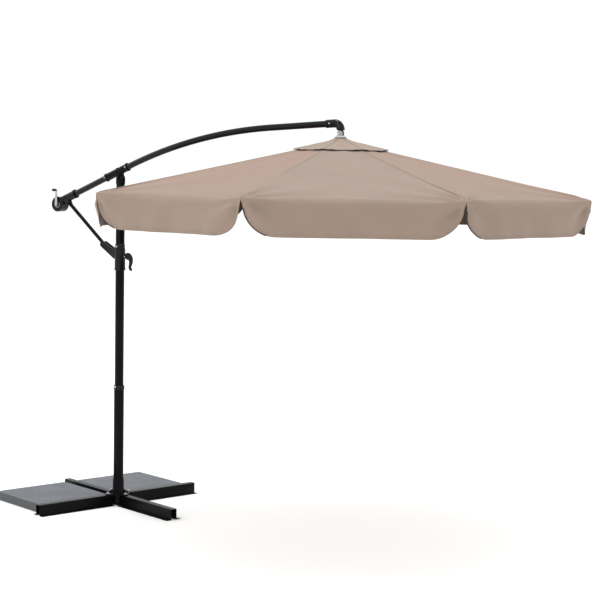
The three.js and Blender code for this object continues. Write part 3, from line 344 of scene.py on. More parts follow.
def clear_plastic(name, colour):
    """Cloudy translucent plastic with fine vertical mould lines."""
    finish = Finish(name)
    cloud = finish.noise(finish.place(), 60, 3)
    lines = finish.noise(finish.place((420, 420, 6)), 1, 1)
    return finish.set(
        Base_Color=finish.blend(cloud.between(0.3, 0.75), colour, shade(colour, 0.72)),
        Roughness=0.22 + cloud * 0.15,
        Normal=finish.bump(lines, 0.0006, 0.5),
        Transmission_Weight=0.35,
    )


def bright_metal(name, colour, gloss, brushed):
    """Plated steel: faint brushing, and dull spots where the plating has aged."""
    finish = Finish(name)
    brush = finish.noise(finish.place((900, 60, 900)), 1, 2)
    age = finish.noise(finish.place(), 120, 3)
    return finish.set(
        Base_Color=finish.blend(age.between(0.5, 0.8) * 0.6, colour, shade(colour, 0.7)),
        Metallic=1.0,
        Roughness=gloss + age * 0.12,
        Normal=finish.bump(brush, 0.0001, brushed),
    )


def cast_stone(name, colour):
    """Ground concrete with dark and pale chips, pin holes painted dark as the shade in them, and a faint
    mottle. The sides are painted darker as shade, by how far each face turns from up.
    """
    finish = Finish(name)
    at = finish.place()
    mottle = finish.noise(at, 9, 5, 0.6)
    sand = finish.noise(at, 700, 3, 0.7)
    chips = finish.node("ShaderNodeTexVoronoi", {"feature": "F1"}, {"Vector": at, "Scale": 190})
    kind = finish.value("ShaderNodeSeparateColor", None, {"Color": chips.outputs["Color"]})
    grain = 1 - Value(finish, chips.outputs["Distance"]).between(0.18, 0.42)
    pale = grain * kind.between(0.62, 0.7)
    dark = grain * (1 - kind.between(0.3, 0.38))
    holes = finish.noise(at, 330, 1).between(0.7, 0.76)
    deep = shade(colour, 0.25)
    body = finish.blend(mottle.between(0.35, 0.7), colour, shade(colour, 1.25))
    body = finish.blend(sand.between(0.4, 0.7) * 0.35, body, deep)
    body = finish.blend(pale * 0.75, body, shade(colour, 2.1))
    body = finish.blend(dark * 0.8, body, deep)
    # The pin holes are painted dark, as the shade inside them.
    body = finish.blend(holes * 0.7, body, deep)
    # Painted shade: faces that turn away from up are darkened, as the slab's sides look in shade.
    normal = finish.node("ShaderNodeTexCoord").outputs["Normal"]
    upward = finish.value("ShaderNodeSeparateXYZ", None, {0: normal}, "Z")
    body = finish.blend((1 - upward.between(0.3, 0.9)) * 0.72, body, deep)
    relief = finish.bump(sand * 0.5 + mottle * 0.5 - holes, 0.0009, 0.6)
    return finish.set(Base_Color=body, Roughness=0.62 + sand * 0.25, Normal=relief)


def woven_cloth(name, colour, faded):
    """Plain-woven polyester. It reads the cloth's own UV map, which is in metres along the cut."""
    finish = Finish(name)
    cut = finish.node("ShaderNodeUVMap", {"uv_map": "Cut"}).outputs["UV"]
    split = finish.node("ShaderNodeSeparateXYZ", None, {0: cut})
    across, along = (Value(finish, split.outputs[axis]) for axis in "XY")
    pitch = 2 * math.pi / THREAD_PITCH
    weave = across.math("SINE", across * pitch) * along.math("SINE", along * pitch)
    uneven = finish.noise(cut, 260, 3)
    slub = finish.noise(finish.scaled(cut, (14.0, 420.0, 1.0)), 1, 2)
    fade = finish.noise(finish.place(), 2.3, 4, 0.55)
    bias = finish.value("ShaderNodeAttribute", {"attribute_name": "bias"}, None, "Fac")
    warm_sheen_colour = tuple(part * tint for part, tint in zip(colour, PAINTED_SHEEN_TINT))
    body = finish.blend(fade.between(0.3, 0.75), colour, faded)
    # Every other roof panel gets a painted warm sheen, strongest near the vent.
    body = finish.blend(bias * (0.6 + fade * 0.6), body, warm_sheen_colour)
    body = finish.blend(weave.between(-0.3, 0.9) * 0.16, body, shade(colour, 0.62))
    body = finish.blend(slub.between(0.45, 0.8) * 0.14, body, shade(colour, 1.2))
    creases = finish.noise(finish.place((1, 1, 1.6)), 11, 4, 0.55)
    under = finish.bump(creases, 0.012, 0.22)
    relief = finish.bump(weave * 0.5 + uneven * 0.6 + slub * 0.5, 0.00035, 0.5, under)
    return finish.set(
        Base_Color=body,
        Roughness=0.78 + uneven * 0.16,
        Normal=relief,
        Sheen_Weight=0.12,
        Sheen_Roughness=0.5,
    )


def twisted_thread(name, colour):
    """Twisted sewing thread, and the dark strip painted as the shadow line along a flap edge."""
    finish = Finish(name)
    twist = finish.noise(finish.place(), 2400, 2)
    return finish.set(
        Base_Color=finish.blend(twist, colour, shade(colour, 0.7)),
        Roughness=0.7,
        Normal=finish.bump(twist, 0.0002, 0.5),
    )


FINISHES = {}


def finish_of(key):
    """The material of that name, made when it is first asked for."""
    if key in FINISHES:
        return FINISHES[key]
    scene = bpy.context.scene
    coat, stone = tuple(scene.parasol_frame.coat_colour), tuple(scene.parasol_frame.slab_colour)
    cloth, shaded_underside = tuple(scene.parasol_cloth.colour), tuple(scene.parasol_cloth.shaded_underside)
    maker, *recipe = {
        "coat": (powder_coat, "Satin black coat", coat, 0.24, 0.09),
        "gloss": (powder_coat, "Glossy black coat", coat, 0.1, 0.22),
        "plastic": (moulded_plastic, "Black moulded plastic", BLACK_PLASTIC, 0.2, 0.00025, 0.2),
        "zinc": (bright_metal, "Zinc plate", ZINC_COLOUR, 0.2, 0.5),
        "chrome": (bright_metal, "Bright chrome", CHROME_COLOUR, 0.08, 0.2),
        "stone": (cast_stone, "Cast stone", stone),
        "clear": (clear_plastic, "Cloudy plastic", CLOUDY_PLASTIC),
        "white": (moulded_plastic, "White moulded plastic", WHITE_PLASTIC, 0.3, 0.0002, 0.5),
        "cloth": (woven_cloth, "Taupe cloth", cloth, tuple(part * 0.9 for part in cloth)),
        "cap cloth": (woven_cloth, "Pale cap cloth", shade(cloth, 1.06), cloth),
        # The underside of the cloth is painted dark as the shade under the canopy.
        "shaded_underside": (woven_cloth, "Coated underside", shaded_underside, shaded_underside),
        "binding": (twisted_thread, "Dark edge binding", SLIT_SHADOW_COLOUR),
        "thread": (twisted_thread, "Sewing thread", shade(cloth, 0.72)),
    }[key]
    FINISHES[key] = maker(*recipe)
    return FINISHES[key]


# ---------------------------------------------------------------- mesh helpers


def smooth_curve(places, values, wanted):
    """Values read off a smooth curve through the given ones."""
    values = np.asarray(values, float)
    slopes = np.gradient(values, places)
    at = np.clip(np.searchsorted(places, wanted, side="right") - 1, 0, len(places) - 2)
    span = places[at + 1] - places[at]
    share = (wanted - places[at]) / span
    keep = 2 * share**3 - 3 * share**2 + 1
    rise = (share**3 - 2 * share**2 + share) * slopes[at] + (share**3 - share**2) * slopes[at + 1]
    return keep * values[at] + (1 - keep) * values[at + 1] + rise * span


def piece(name, mesh, finishes, body, stands_for=(), smooth=35.0, bevel=0.0):
    """Puts a mesh in the scene as a finished piece that rides on a body of the frame."""
    for key in finishes:
        mesh.materials.append(finish_of(key))
    mesh.shade_smooth()
    mesh.set_sharp_from_angle(angle=math.radians(smooth))
    obj = bpy.data.objects.new(name, mesh)
    bpy.context.scene.collection.objects.link(obj)
    if bevel:
        eased = obj.modifiers.new("Eased edges", "BEVEL")
        eased.width = bevel
        eased.segments = 2
        eased.limit_method = "ANGLE"
        eased.angle_limit = EASE_ANGLE
        eased.use_clamp_overlap = True
        eased.harden_normals = False
    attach(obj, body)
    if stands_for:
        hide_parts(*stands_for)
    return obj


def from_bmesh(name, bm, outward=True):
    if outward:
        bmesh.ops.remove_doubles(bm, verts=bm.verts, dist=1e-6)
        bmesh.ops.recalc_face_normals(bm, faces=bm.faces)
    mesh = bpy.data.meshes.new(name)
    bm.to_mesh(mesh)
    bm.free()
    return mesh


def join_rings(bm, rings):
    """Bands of faces from each ring of points to the next."""
    for low, high in zip(rings, rings[1:]):
        for step in range(len(low)):
            after = (step + 1) % len(low)
            bm.faces.new([low[step], low[after], high[after], high[step]])


def turned_wall(name, inner, outer, low, high, place=Matrix.Identity(4), edge=0.0008, segments=64):
    """A tube's wall with its four edges eased, turned round the local Z axis of a place."""
    soft = edge * 0.3
    outline = [
        (inner, low + edge), (inner + soft, low + soft), (inner + edge, low), (outer - edge, low),
        (outer - soft, low + soft), (outer, low + edge), (outer, high - edge), (outer - soft, high - soft),
        (outer - edge, high), (inner + edge, high), (inner + soft, high - soft), (inner, high - edge),
    ]
    turns = [2 * math.pi * step / segments for step in range(segments)]
    bm = bmesh.new()
    rings = []
    for radius, height in outline:
        circle = [Vector((radius * math.cos(turn), radius * math.sin(turn), height)) for turn in turns]
        rings.append([bm.verts.new(place @ point) for point in circle])
    join_rings(bm, [*rings, rings[0]])
    return from_bmesh(name, bm)


def facing(origin, direction):
    """A place whose local Z runs along a direction."""
    return Matrix.Translation(origin) @ Vector(direction).to_track_quat("Z", "Y").to_matrix().to_4x4()


def refined(node, finish, body, ease=FINE_EASE, reshape=None):
    """A copy of a CAD node's mesh with its doubles merged, its flat faces joined and its edges eased."""
    bm = bmesh.new()
    bm.from_mesh(NODES[node].data)
    if reshape:
        for vert in bm.verts:
            reshape(vert.co)
    bmesh.ops.remove_doubles(bm, verts=bm.verts, dist=MERGE_DISTANCE)
    bmesh.ops.dissolve_limit(
        bm, angle_limit=FLAT_ANGLE, verts=bm.verts, edges=bm.edges, use_dissolve_boundaries=False
    )
    bmesh.ops.dissolve_degenerate(bm, dist=1e-5, edges=bm.edges)
    mesh = from_bmesh(node + "_mesh", bm, outward=False)
    return piece(node + "_piece", mesh, [finish], body, [node], bevel=ease)


def thickened(name, outer, faces, thickness, cut_map, bias=None):
    """A sheet with an outer and an inner face and a wall round each free edge. Slot 1 is the inner face."""
    points = np.array(outer, float)
    normals = np.zeros_like(points)
    for face in faces:
        a, b, c = (points[face[i]] for i in (0, 1, 2))
        normal = np.cross(b - a, c - a)
        if len(face) == 4:
            d = points[face[3]]
            normal = normal + np.cross(c - a, d - a)
        for index in face:
            normals[index] += normal
    lengths = np.linalg.norm(normals, axis=1)
    normals /= np.maximum(lengths, 1e-12)[:, None]
    inner = points - normals * thickness
    count = len(points)
    uses = {}
    for face in faces:
        for first, second in zip(face, [*face[1:], face[0]]):
            uses.setdefault((min(first, second), max(first, second)), []).append((first, second))
    free = [used[0] for used in uses.values() if len(used) == 1]
    everything = [tuple(face) for face in faces]
    everything += [tuple(index + count for index in reversed(face)) for face in faces]
    everything += [(second, first, first + count, second + count) for first, second in free]
    mesh = bpy.data.meshes.new(name)
    mesh.from_pydata([tuple(point) for point in np.vstack([points, inner])], [], everything)
    mesh.polygons.foreach_set("material_index", [0] * len(faces) + [1] * len(faces) + [0] * len(free))
    layer = mesh.uv_layers.new(name="Cut")
    cut = np.array(cut_map, np.float32)
    loops = np.zeros(len(mesh.loops), np.int32)
    mesh.loops.foreach_get("vertex_index", loops)
    layer.data.foreach_set("uv", cut[loops % count].ravel())
    # Share of the painted warm sheen at each point, the same on both faces.
    sheen_share = np.zeros(count) if bias is None else np.asarray(bias, float)
    attribute = mesh.attributes.new("bias", "FLOAT", "POINT")
    attribute.data.foreach_set("value", np.tile(sheen_share, 2).astype(np.float32))
    mesh.validate()
    return mesh


# ---------------------------------------------------------------- geometry node trees


class Grower:
    """A geometry node tree with named inputs, built once and used by several pieces."""

    def __init__(self, name, inputs):
        self.tree = bpy.data.node_groups.new(name, "GeometryNodeTree")
        self.tree.interface.new_socket("Geometry", in_out="INPUT", socket_type="NodeSocketGeometry")
        for label, (kind, default) in {**inputs, "Material": ("Material", None)}.items():
            socket = self.tree.interface.new_socket(label, in_out="INPUT", socket_type="NodeSocket" + kind)
            if default is not None:
                socket.default_value = default
        self.tree.interface.new_socket("Geometry", in_out="OUTPUT", socket_type="NodeSocketGeometry")
        self.source = self.tree.nodes.new("NodeGroupInput")
        self.result = self.tree.nodes.new("NodeGroupOutput")

    def node(self, kind, settings=None, sockets=None):
        """The first output of a new node, with its settings made, then the values or links of its sockets."""
        made = self.tree.nodes.new(kind)
        for key, value in (settings or {}).items():
            setattr(made, key, value)
        for key, value in (sockets or {}).items():
            for part in value if isinstance(value, list) else [value]:
                if isinstance(part, bpy.types.NodeSocket):
                    self.tree.links.new(part, made.inputs[key])
                else:
                    made.inputs[key].default_value = part
        return made.outputs[0] if made.outputs else made

    def given(self, label):
        return self.source.outputs[label]

    def math(self, operation, first, second):
        return self.node("ShaderNodeMath", {"operation": operation}, {0: first, 1: second})

    def vector(self, x, y, z):
        return self.node("ShaderNodeCombineXYZ", None, {0: x, 1: y, 2: z})

    def moved(self, geometry, up, scale=(1.0, 1.0, 1.0)):
        place = self.vector(0.0, 0.0, up)
        return self.node(
            "GeometryNodeTransform", None, {"Geometry": geometry, "Translation": place, "Scale": scale}
        )

    def turned_to(self, way):
        return self.node("FunctionNodeAlignRotationToVector", {"axis": "Z"}, {"Vector": way})

    def end(self, geometry):
        """Realized and with its material set."""
        real = self.node("GeometryNodeRealizeInstances", None, {0: geometry})
        sockets = {"Geometry": real, "Material": self.given("Material")}
        self.tree.links.new(self.node("GeometryNodeSetMaterial", None, sockets), self.result.inputs[0])
        return self

    def grow(self, name, mesh, **inputs):
        """Runs the tree on a mesh and returns the plain mesh that it makes."""
        holder = bpy.data.objects.new(name + "_source", mesh)
        bpy.context.scene.collection.objects.link(holder)
        modifier = holder.modifiers.new("Grown", "NODES")
        modifier.node_group = self.tree
        wanted = {key.replace("_", " "): value for key, value in inputs.items()}
        for item in self.tree.interface.items_tree:
            if item.in_out == "INPUT" and item.name in wanted:
                modifier[item.identifier] = wanted[item.name]
        bpy.context.view_layer.update()
        graph = bpy.context.evaluated_depsgraph_get()
        made = bpy.data.meshes.new_from_object(holder.evaluated_get(graph))
        holder.modifiers.clear()
        bpy.data.objects.remove(holder)
        made.materials.clear()
        return made


def tube_tree():
    """A round tube along a path."""
    tree = Grower("Tube along a path", {"Radius": ("Float", 0.01), "Sides": ("Int", 48)})
    path = tree.node("GeometryNodeMeshToCurve", None, {0: tree.given("Geometry")})
    circle = tree.node(
        "GeometryNodeCurvePrimitiveCircle",
        None,
        {"Resolution": tree.given("Sides"), "Radius": tree.given("Radius")},
    )
    sockets = {"Curve": path, "Profile Curve": circle, "Fill Caps": True}
    return tree.end(tree.node("GeometryNodeCurveToMesh", None, sockets))


def stitch_tree():
    """Short rounded stitches along a path."""
    tree = Grower(
        "Stitches along a path",
        {"Spacing": ("Float", 0.01), "Length": ("Float", 0.006), "Thickness": ("Float", 0.0009)},
    )
    path = tree.node("GeometryNodeMeshToCurve", None, {0: tree.given("Geometry")})
    spaced = tree.node(
        "GeometryNodeResampleCurve", {"mode": "LENGTH"}, {"Curve": path, "Length": tree.given("Spacing")}
    )
    bead = tree.node("GeometryNodeMeshUVSphere", None, {"Segments": 6, "Rings": 4, "Radius": 0.5})
    size = tree.vector(tree.given("Thickness"), tree.given("Thickness"), tree.given("Length"))
    turn = tree.turned_to(tree.node("GeometryNodeInputTangent"))
    sockets = {"Points": spaced, "Instance": bead, "Rotation": turn, "Scale": size}
    return tree.end(tree.node("GeometryNodeInstanceOnPoints", None, sockets))


def head_tree():
    """Domed bolt heads on washers, one at each point, along its facing attribute."""
    tree = Grower(
        "Bolt heads",
        {
            "Head Radius": ("Float", 0.006), "Head Height": ("Float", 0.004), "Sides": ("Int", 6),
            "Washer Radius": ("Float", 0.009), "Washer Height": ("Float", 0.0012),
        },
    )
    radius, height, washer_height = (
        tree.given(label) for label in ("Head Radius", "Head Height", "Washer Height")
    )
    half = tree.math("MULTIPLY", height, 0.5)
    rise = tree.math("ADD", half, washer_height)
    washer = tree.node(
        "GeometryNodeMeshCylinder",
        None,
        {"Vertices": WASHER_SIDES, "Radius": tree.given("Washer Radius"), "Depth": washer_height},
    )
    head = tree.node(
        "GeometryNodeMeshCylinder", None, {"Vertices": tree.given("Sides"), "Radius": radius, "Depth": height}
    )
    dome = tree.node(
        "GeometryNodeMeshUVSphere",
        None,
        {"Segments": 20, "Rings": 10, "Radius": tree.math("MULTIPLY", radius, DOME_SHARE)},
    )
    parts = [
        tree.moved(washer, tree.math("MULTIPLY", washer_height, 0.5)),
        tree.moved(head, rise),
        tree.moved(dome, tree.math("ADD", rise, half), (1.0, 1.0, DOME_FLATNESS)),
    ]
    whole = tree.node("GeometryNodeJoinGeometry", None, {0: parts})
    way = tree.node("GeometryNodeInputNamedAttribute", {"data_type": "FLOAT_VECTOR"}, {"Name": "facing"})
    sockets = {"Points": tree.given("Geometry"), "Instance": whole, "Rotation": tree.turned_to(way)}
    return tree.end(tree.node("GeometryNodeInstanceOnPoints", None, sockets))


TREES = {"tube": tube_tree, "stitch": stitch_tree, "head": head_tree}
GROWERS = {}


def grown(kind, name, mesh, **inputs):
    """The mesh that one of the trees makes. A tree is built when it is first asked for."""
    if kind not in GROWERS:
        GROWERS[kind] = TREES[kind]()
    return GROWERS[kind].grow(name, mesh, **inputs)


def path_mesh(lines):
    """Polylines as loose edges."""
    verts, edges = [], []
    for line in lines:
        start = len(verts)
        verts += [tuple(point) for point in line]
        edges += [(start + step, start + step + 1) for step in range(len(line) - 1)]
    mesh = bpy.data.meshes.new("path")
    mesh.from_pydata(verts, edges, [])
    return mesh


def point_mesh(places):
    """Loose points with a facing direction each."""
    mesh = bpy.data.meshes.new("points")
    mesh.from_pydata([tuple(point) for point, _ in places], [], [])
    attribute = mesh.attributes.new("facing", "FLOAT_VECTOR", "POINT")
    attribute.data.foreach_set("vector", [part for _, way in places for part in way])
    return mesh


def heads_piece(name, kind, places, body, stands_for=()):
    """Heads of one kind, each at a point and along a direction."""
    head = HEADS[kind]
    mesh = grown(
        "head", name, point_mesh(places),
        Head_Radius=head["radius"], Head_Height=head["height"], Sides=head["sides"],
        Washer_Radius=head["radius"] * head["washer"], Washer_Height=WASHER_HEIGHT,
        Material=finish_of(head["finish"]),
    )
    return piece(name, mesh, [head["finish"]], body, stands_for)


def front_place(kind, across, face, up):
    """Where a head sits in a face that looks towards -Y."""
    return Vector((across, face + HEADS[kind]["sunk"], up)), (0, -1, 0)


def pin_heads(name, kind, pin, node, body):
    """A head on each side of the node that a pin goes through."""
    low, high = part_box(node)
    behind = Vector((pin.x, high.y - HEADS[kind]["sunk"], pin.z)), (0, 1, 0)
    return heads_piece(name, kind, [front_place(kind, pin.x, low.y, pin.z), behind], body)


# ---------------------------------------------------------------- base and poles


def build_base(size):
    """The cross arms, the two slabs, the welded foot and its bolts."""
    for node in ("cross_hub", *(f"cross_arm_{number}" for number in range(1, 5))):
        refined(node, "coat", "root", FOLDED_EASE)
    for number in (1, 2):
        refined(f"ballast_slab_{number}", "stone", "root", size.slab_edge)
    foot_low, foot_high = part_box("pole_foot")
    plate_top = foot_low.z + FOOT_PLATE

    def lower_gussets(point):
        if plate_top + GUSSET_CLEAR < point.z < foot_high.z - GUSSET_CLEAR:
            point.z = plate_top + (point.z - plate_top) * GUSSET_SHARE

    refined("pole_foot", "coat", "root", THIN_EASE, lower_gussets)
    for number in range(1, 5):
        node = f"foot_bolt_{number}"
        low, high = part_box(node)
        middle = (low + high) / 2
        places = [(Vector((middle.x, middle.y, plate_top)), (0, 0, 1))]
        heads_piece(node + "_head", "foot_bolt", places, "root", [node])


def build_poles(size):
    """The two nested poles, the collar that joins them, and the post and head on top."""
    for node in ("lower_pole", "upper_pole"):
        low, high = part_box(node)
        tube = turned_wall(node + "_tube", high.x - POLE_WALL, high.x, low.z, high.z)
        piece(node + "_tube", tube, ["coat"], "root", [node])
    refined("head_post", "coat", "root")
    refined("joint_collar", "plastic", "root", MOULDED_EASE)
    refined("pole_head", "coat", "root", THIN_EASE)
    low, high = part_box("joint_collar")
    screw = front_place("joint_screw", 0, low.y, high.z - JOINT_SCREW_DROP)
    heads_piece("joint_screw_head", "joint_screw", [screw], "root")
    pin_heads("pivot_bolt_heads", "pivot_bolt", PIVOT, "pole_head", "root")


# ---------------------------------------------------------------- boom, crank and slider


def build_boom(size):
    """The bracket on the pivot, both boom tubes, their rings, the elbow and the crank housing."""
    for node, finish, slot, ease in (
        ("boom_bracket", "coat", "frame_coat", MOULDED_EASE),
        ("lower_boom", "gloss", "frame_coat", FINE_EASE),
        ("curved_boom", "gloss", "frame_coat", FINE_EASE),
        ("boom_ring_rear", "plastic", "hub_plastic", MOULDED_EASE),
        ("boom_ring_front", "plastic", "hub_plastic", MOULDED_EASE),
        ("boom_elbow", "gloss", "hub_plastic", MOULDED_EASE),
        ("crank_housing", "plastic", "hub_plastic", MOULDED_EASE),
        ("crank_cover", "plastic", "hub_plastic", THIN_EASE),
    ):
        refined(node, finish, "boom", ease)
    ring_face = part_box("boom_ring_rear")[0].y
    screws = []
    for node in ("boom_ring_rear", "boom_ring_front"):
        middle = sum(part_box(node), Vector()) / 2
        screws.append(front_place("boom_screw", middle.x, ring_face, middle.z))
    low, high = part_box("boom_elbow")
    inwards, sunk, down = ELBOW_SCREW
    screws.append((Vector((low.x + inwards, low.y + sunk, high.z - down)), (0, -1, 0)))
    heads_piece("boom_screw_heads", "boom_screw", screws, "boom")
    pin_heads("hang_pin_heads", "hang_pin", HANG, "boom_elbow", "boom")
    pin_heads("strut_bolt_heads", "strut_bolt", STRUT_TOP, "crank_housing", "boom")


def build_crank(size):
    """The chromed crank, its knob, and the bright ring on the drum."""
    refined("crank_arm", "chrome", "crank", THIN_EASE)
    refined("crank_knob", "plastic", "knob", KNOB_EASE)
    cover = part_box("crank_cover")[0].y
    place = facing(Vector((DRUM.x, cover + RING_SUNK, DRUM.z)), (0, -1, 0))
    inner = size.drum_ring - RING_BAND
    ring = turned_wall("drum_ring", inner, size.drum_ring, 0.0, RING_HEIGHT, place, FINE_EASE, 72)
    piece("drum_ring", ring, ["chrome"], "boom", ())


def build_slider(size):
    """The sleeve that slides on the pole, its collar and lever, and the strut up to the boom."""
    refined("slider_sleeve", "plastic", "slider", MOULDED_EASE)
    refined("slider_collar", "plastic", "slider", MOULDED_EASE)
    build_lever()
    refined("strut", "coat", "strut", THIN_EASE)
    low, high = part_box("slider_collar")
    screw = front_place("slider_screw", 0, low.y, (low.z + high.z) / 2)
    heads_piece("slider_screw_head", "slider_screw", [screw], "slider")
    pin_heads("lever_pin_heads", "lever_pin", LEVER_PIN, "lock_lever", "slider")


def build_lever():
    """The hooked lever: thick at its pivot, thin and curled at its tip."""
    places = np.linspace(0, 1, len(LEVER_PATH))
    wanted = np.linspace(0, 1, LEVER_RINGS)
    across, up, half = (
        smooth_curve(places, [row[axis] for row in LEVER_PATH], wanted) for axis in range(3)
    )
    points = [LEVER_PIN + Vector((x, 0, z)) for x, z in zip(across, up)]
    last = LEVER_RINGS - 1
    bm = bmesh.new()
    rings = []
    for index, point in enumerate(points):
        way = (points[min(index + 1, last)] - points[max(index - 1, 0)]).normalized()
        normal = Vector((-way.z, 0, way.x))
        thick = half[index] * min(1.0, LEVER_END_SHARE + min(index, last - index) / LEVER_END_RINGS)
        ring = []
        for step in range(LEVER_SIDES):
            turn = 2 * math.pi * step / LEVER_SIDES
            aside = Vector((0, math.cos(turn) * min(thick * LEVER_FLARE, LEVER_HALF_WIDTH), 0))
            ring.append(bm.verts.new(point + aside + normal * math.sin(turn) * thick))
        rings.append(ring)
    join_rings(bm, rings)
    bm.faces.new(rings[0])
    bm.faces.new(list(reversed(rings[-1])))
    lever = from_bmesh("lever_hook", bm)
    piece("lever_hook", lever, ["plastic"], "lever", ["lock_lever"], smooth=60)


# ---------------------------------------------------------------- hub, ribs and canopy


def rib_angle(number):
    return FIRST_RIB + SECTOR * (number - 1)


def directions(angle):
    """Outwards at an angle round the canopy, and to the side of it."""
    return np.array((math.cos(angle), math.sin(angle))), np.array((-math.sin(angle), math.cos(angle)))


def build_hub(size):
    """The cloudy connector, its pale skirt, the crown and runner, the ribs and the stretchers."""
    refined("hub_connector", "clear", "canopy_hub", FINE_EASE)
    refined("cap_skirt", "white", "canopy_hub", THIN_EASE)
    refined("crown", "plastic", "canopy_hub", MOULDED_EASE)
    refined("runner", "plastic", "runner", MOULDED_EASE)
    for number in RIBS:
        refined(f"rib_{number}", "coat", f"rib_{number}", THIN_EASE)
        refined(f"stretcher_{number}", "coat", f"stretcher_{number}", FINE_EASE)


def smooth_step(value, low, high):
    share = np.clip((value - low) / (high - low), 0, 1)
    return share * share * (3 - 2 * share)


def seam_height(radius):
    """The cloth's height over a rib."""
    return CENTRE.z + CLOTH_RISE - (radius - PIN_CIRCLE) * math.tan(RIB_SLOPE)


class Gore:
    """One panel of the canopy between two ribs: its roof, the soft roll at the rim, and the flap."""

    def __init__(self, number, size):
        self.number = number
        self.size = size
        self.out, self.side = directions(rib_angle(number) + HALF_SECTOR)
        self.rim = size.radius * math.cos(HALF_SECTOR)
        self.half = size.radius * math.sin(HALF_SECTOR)
        self.slope = math.atan(math.tan(RIB_SLOPE) / math.cos(HALF_SECTOR))
        chance = np.random.default_rng(CLOTH_SEED + number)
        self.phase = chance.uniform(0, 2 * math.pi, 8)
        self.mood = chance.uniform(0.7, 1.3, 8)

    def top(self, out):
        return seam_height(out / math.cos(HALF_SECTOR))

    def depth(self, from_tip):
        """How far the flap hangs at a distance from the nearest rib, with its rounded lower corners."""
        corner = self.size.flap_corner
        inset = 1 - np.clip(from_tip / corner, 0, 1)
        return self.size.flap - corner * (1 - np.sqrt(1 - inset**2))

    def grid(self, across):
        """Points and cut positions, row by row, for columns at these distances from the middle line."""
        share = across / self.half
        from_tip = self.half - np.abs(across)
        roll = ROLL_TIGHT + (self.size.roll - ROLL_TIGHT) * smooth_step(from_tip, 0.0, ROLL_SPREAD)
        start_out = self.rim - roll * math.tan((HANGING - self.slope) / 2) * math.cos(self.slope)
        start_z = self.top(start_out)
        inner = self.size.vent * math.cos(HALF_SECTOR)
        rim_z = self.top(self.rim)
        level = np.ones_like(across)
        rows = []
        for row in range(ROOF_ROWS + 1):
            out = inner + (start_out - inner) * (row / ROOF_ROWS) ** ROOF_SPACING
            rows.append((out, self.top(out), level * self.slope, level * 0))
        for row in range(1, ROLL_ROWS + 1):
            turn = self.slope + (HANGING - self.slope) * row / ROLL_ROWS
            out = start_out + roll * (math.sin(turn) - math.sin(self.slope))
            height = start_z + roll * (math.cos(turn) - math.cos(self.slope))
            rows.append((out, height, level * turn, rim_z - height))
        hang_out, hang_z = rows[-1][:2]
        bottom = rim_z - self.depth(from_tip)
        for row in range(1, FLAP_ROWS + 1):
            height = hang_z + (bottom - hang_z) * (row / FLAP_ROWS)
            rows.append((hang_out, height, level * HANGING, rim_z - height))
        out, height, turn, down = (np.array(part) for part in zip(*rows))
        width = share[None, :] * self.half * np.clip(out / self.rim, 0, 1)
        width = width - np.sign(share)[None, :] * SLIT * 0.5 * smooth_step(down, 0.004, 0.05)
        lift = self.folds(out, width, down, share)
        out = out + lift * np.sin(turn)
        height = height + lift * np.cos(turn)
        steps = np.hypot(np.diff(out, axis=0), np.diff(height, axis=0))
        travelled = np.vstack([np.zeros_like(across)[None, :], np.cumsum(steps, axis=0)])
        flat = self.out[None, None, :] * out[..., None] + self.side[None, None, :] * width[..., None]
        points = np.dstack([flat + np.array((CENTRE.x, CENTRE.y)), height])
        return points, np.dstack([width, travelled])

    def folds(self, out, width, down, share):
        """Height of the cloth above its plain shape: sag, puckers from the tips, and the flap's hang."""
        size, phase, mood = self.size, self.phase, self.mood
        ratio = np.clip(out / self.rim, 0, 1)
        across = 1 - share[None, :] ** 2
        roof = 1 - smooth_step(down, 0.0, 0.05)
        flap = smooth_step(down, 0.02, 0.2)
        lift = -size.sag * across * ratio**1.6 * (1 - 0.65 * flap)
        lift += size.fold * 0.25 * across * np.sin(7.3 * ratio + phase[0]) * np.sin(5.1 * share + phase[1])
        for side, first in ((-1, 2), (1, 4)):
            gap = self.half - side * width
            reach = np.hypot(gap, (self.rim - out) + down)
            away = smooth_step(reach, 0.015, 0.09) * smooth_step(gap, 0.0, 0.05)
            ray = np.arctan2(gap, self.rim - out + 1e-6)
            fan = np.cos(ray * (8 + 3 * mood[first]) + phase[first]) * np.exp(-reach / 0.3)
            lift += size.fold * 0.8 * mood[first] * fan * away * roof
            drop = np.arctan2(down, gap + 1e-6)
            swag = np.cos(drop * 6.5 + phase[first + 1]) * np.exp(-reach / 0.24)
            lift += size.fold * 1.5 * mood[first + 1] * swag * away * smooth_step(down, 0.01, 0.06)
            lift -= size.curl * mood[first] * np.exp(-gap / 0.045) * flap
        wave = sum(
            np.sin(2 * math.pi * width / length + phase[chance]) * part for length, part, chance in FLAP_WAVES
        )
        return lift + size.fold * 1.5 * wave * flap


def gores_beside(number, gores):
    """The panels after and before a rib."""
    return gores[number], gores[(number - 2) % 8 + 1]


def half_columns(half):
    """Distances across a half panel, from its middle to its rib, close together near the rib."""
    return half * (1 - (1 - np.linspace(0, 1, HALF_COLUMNS + 1)) ** COLUMN_SPACING)


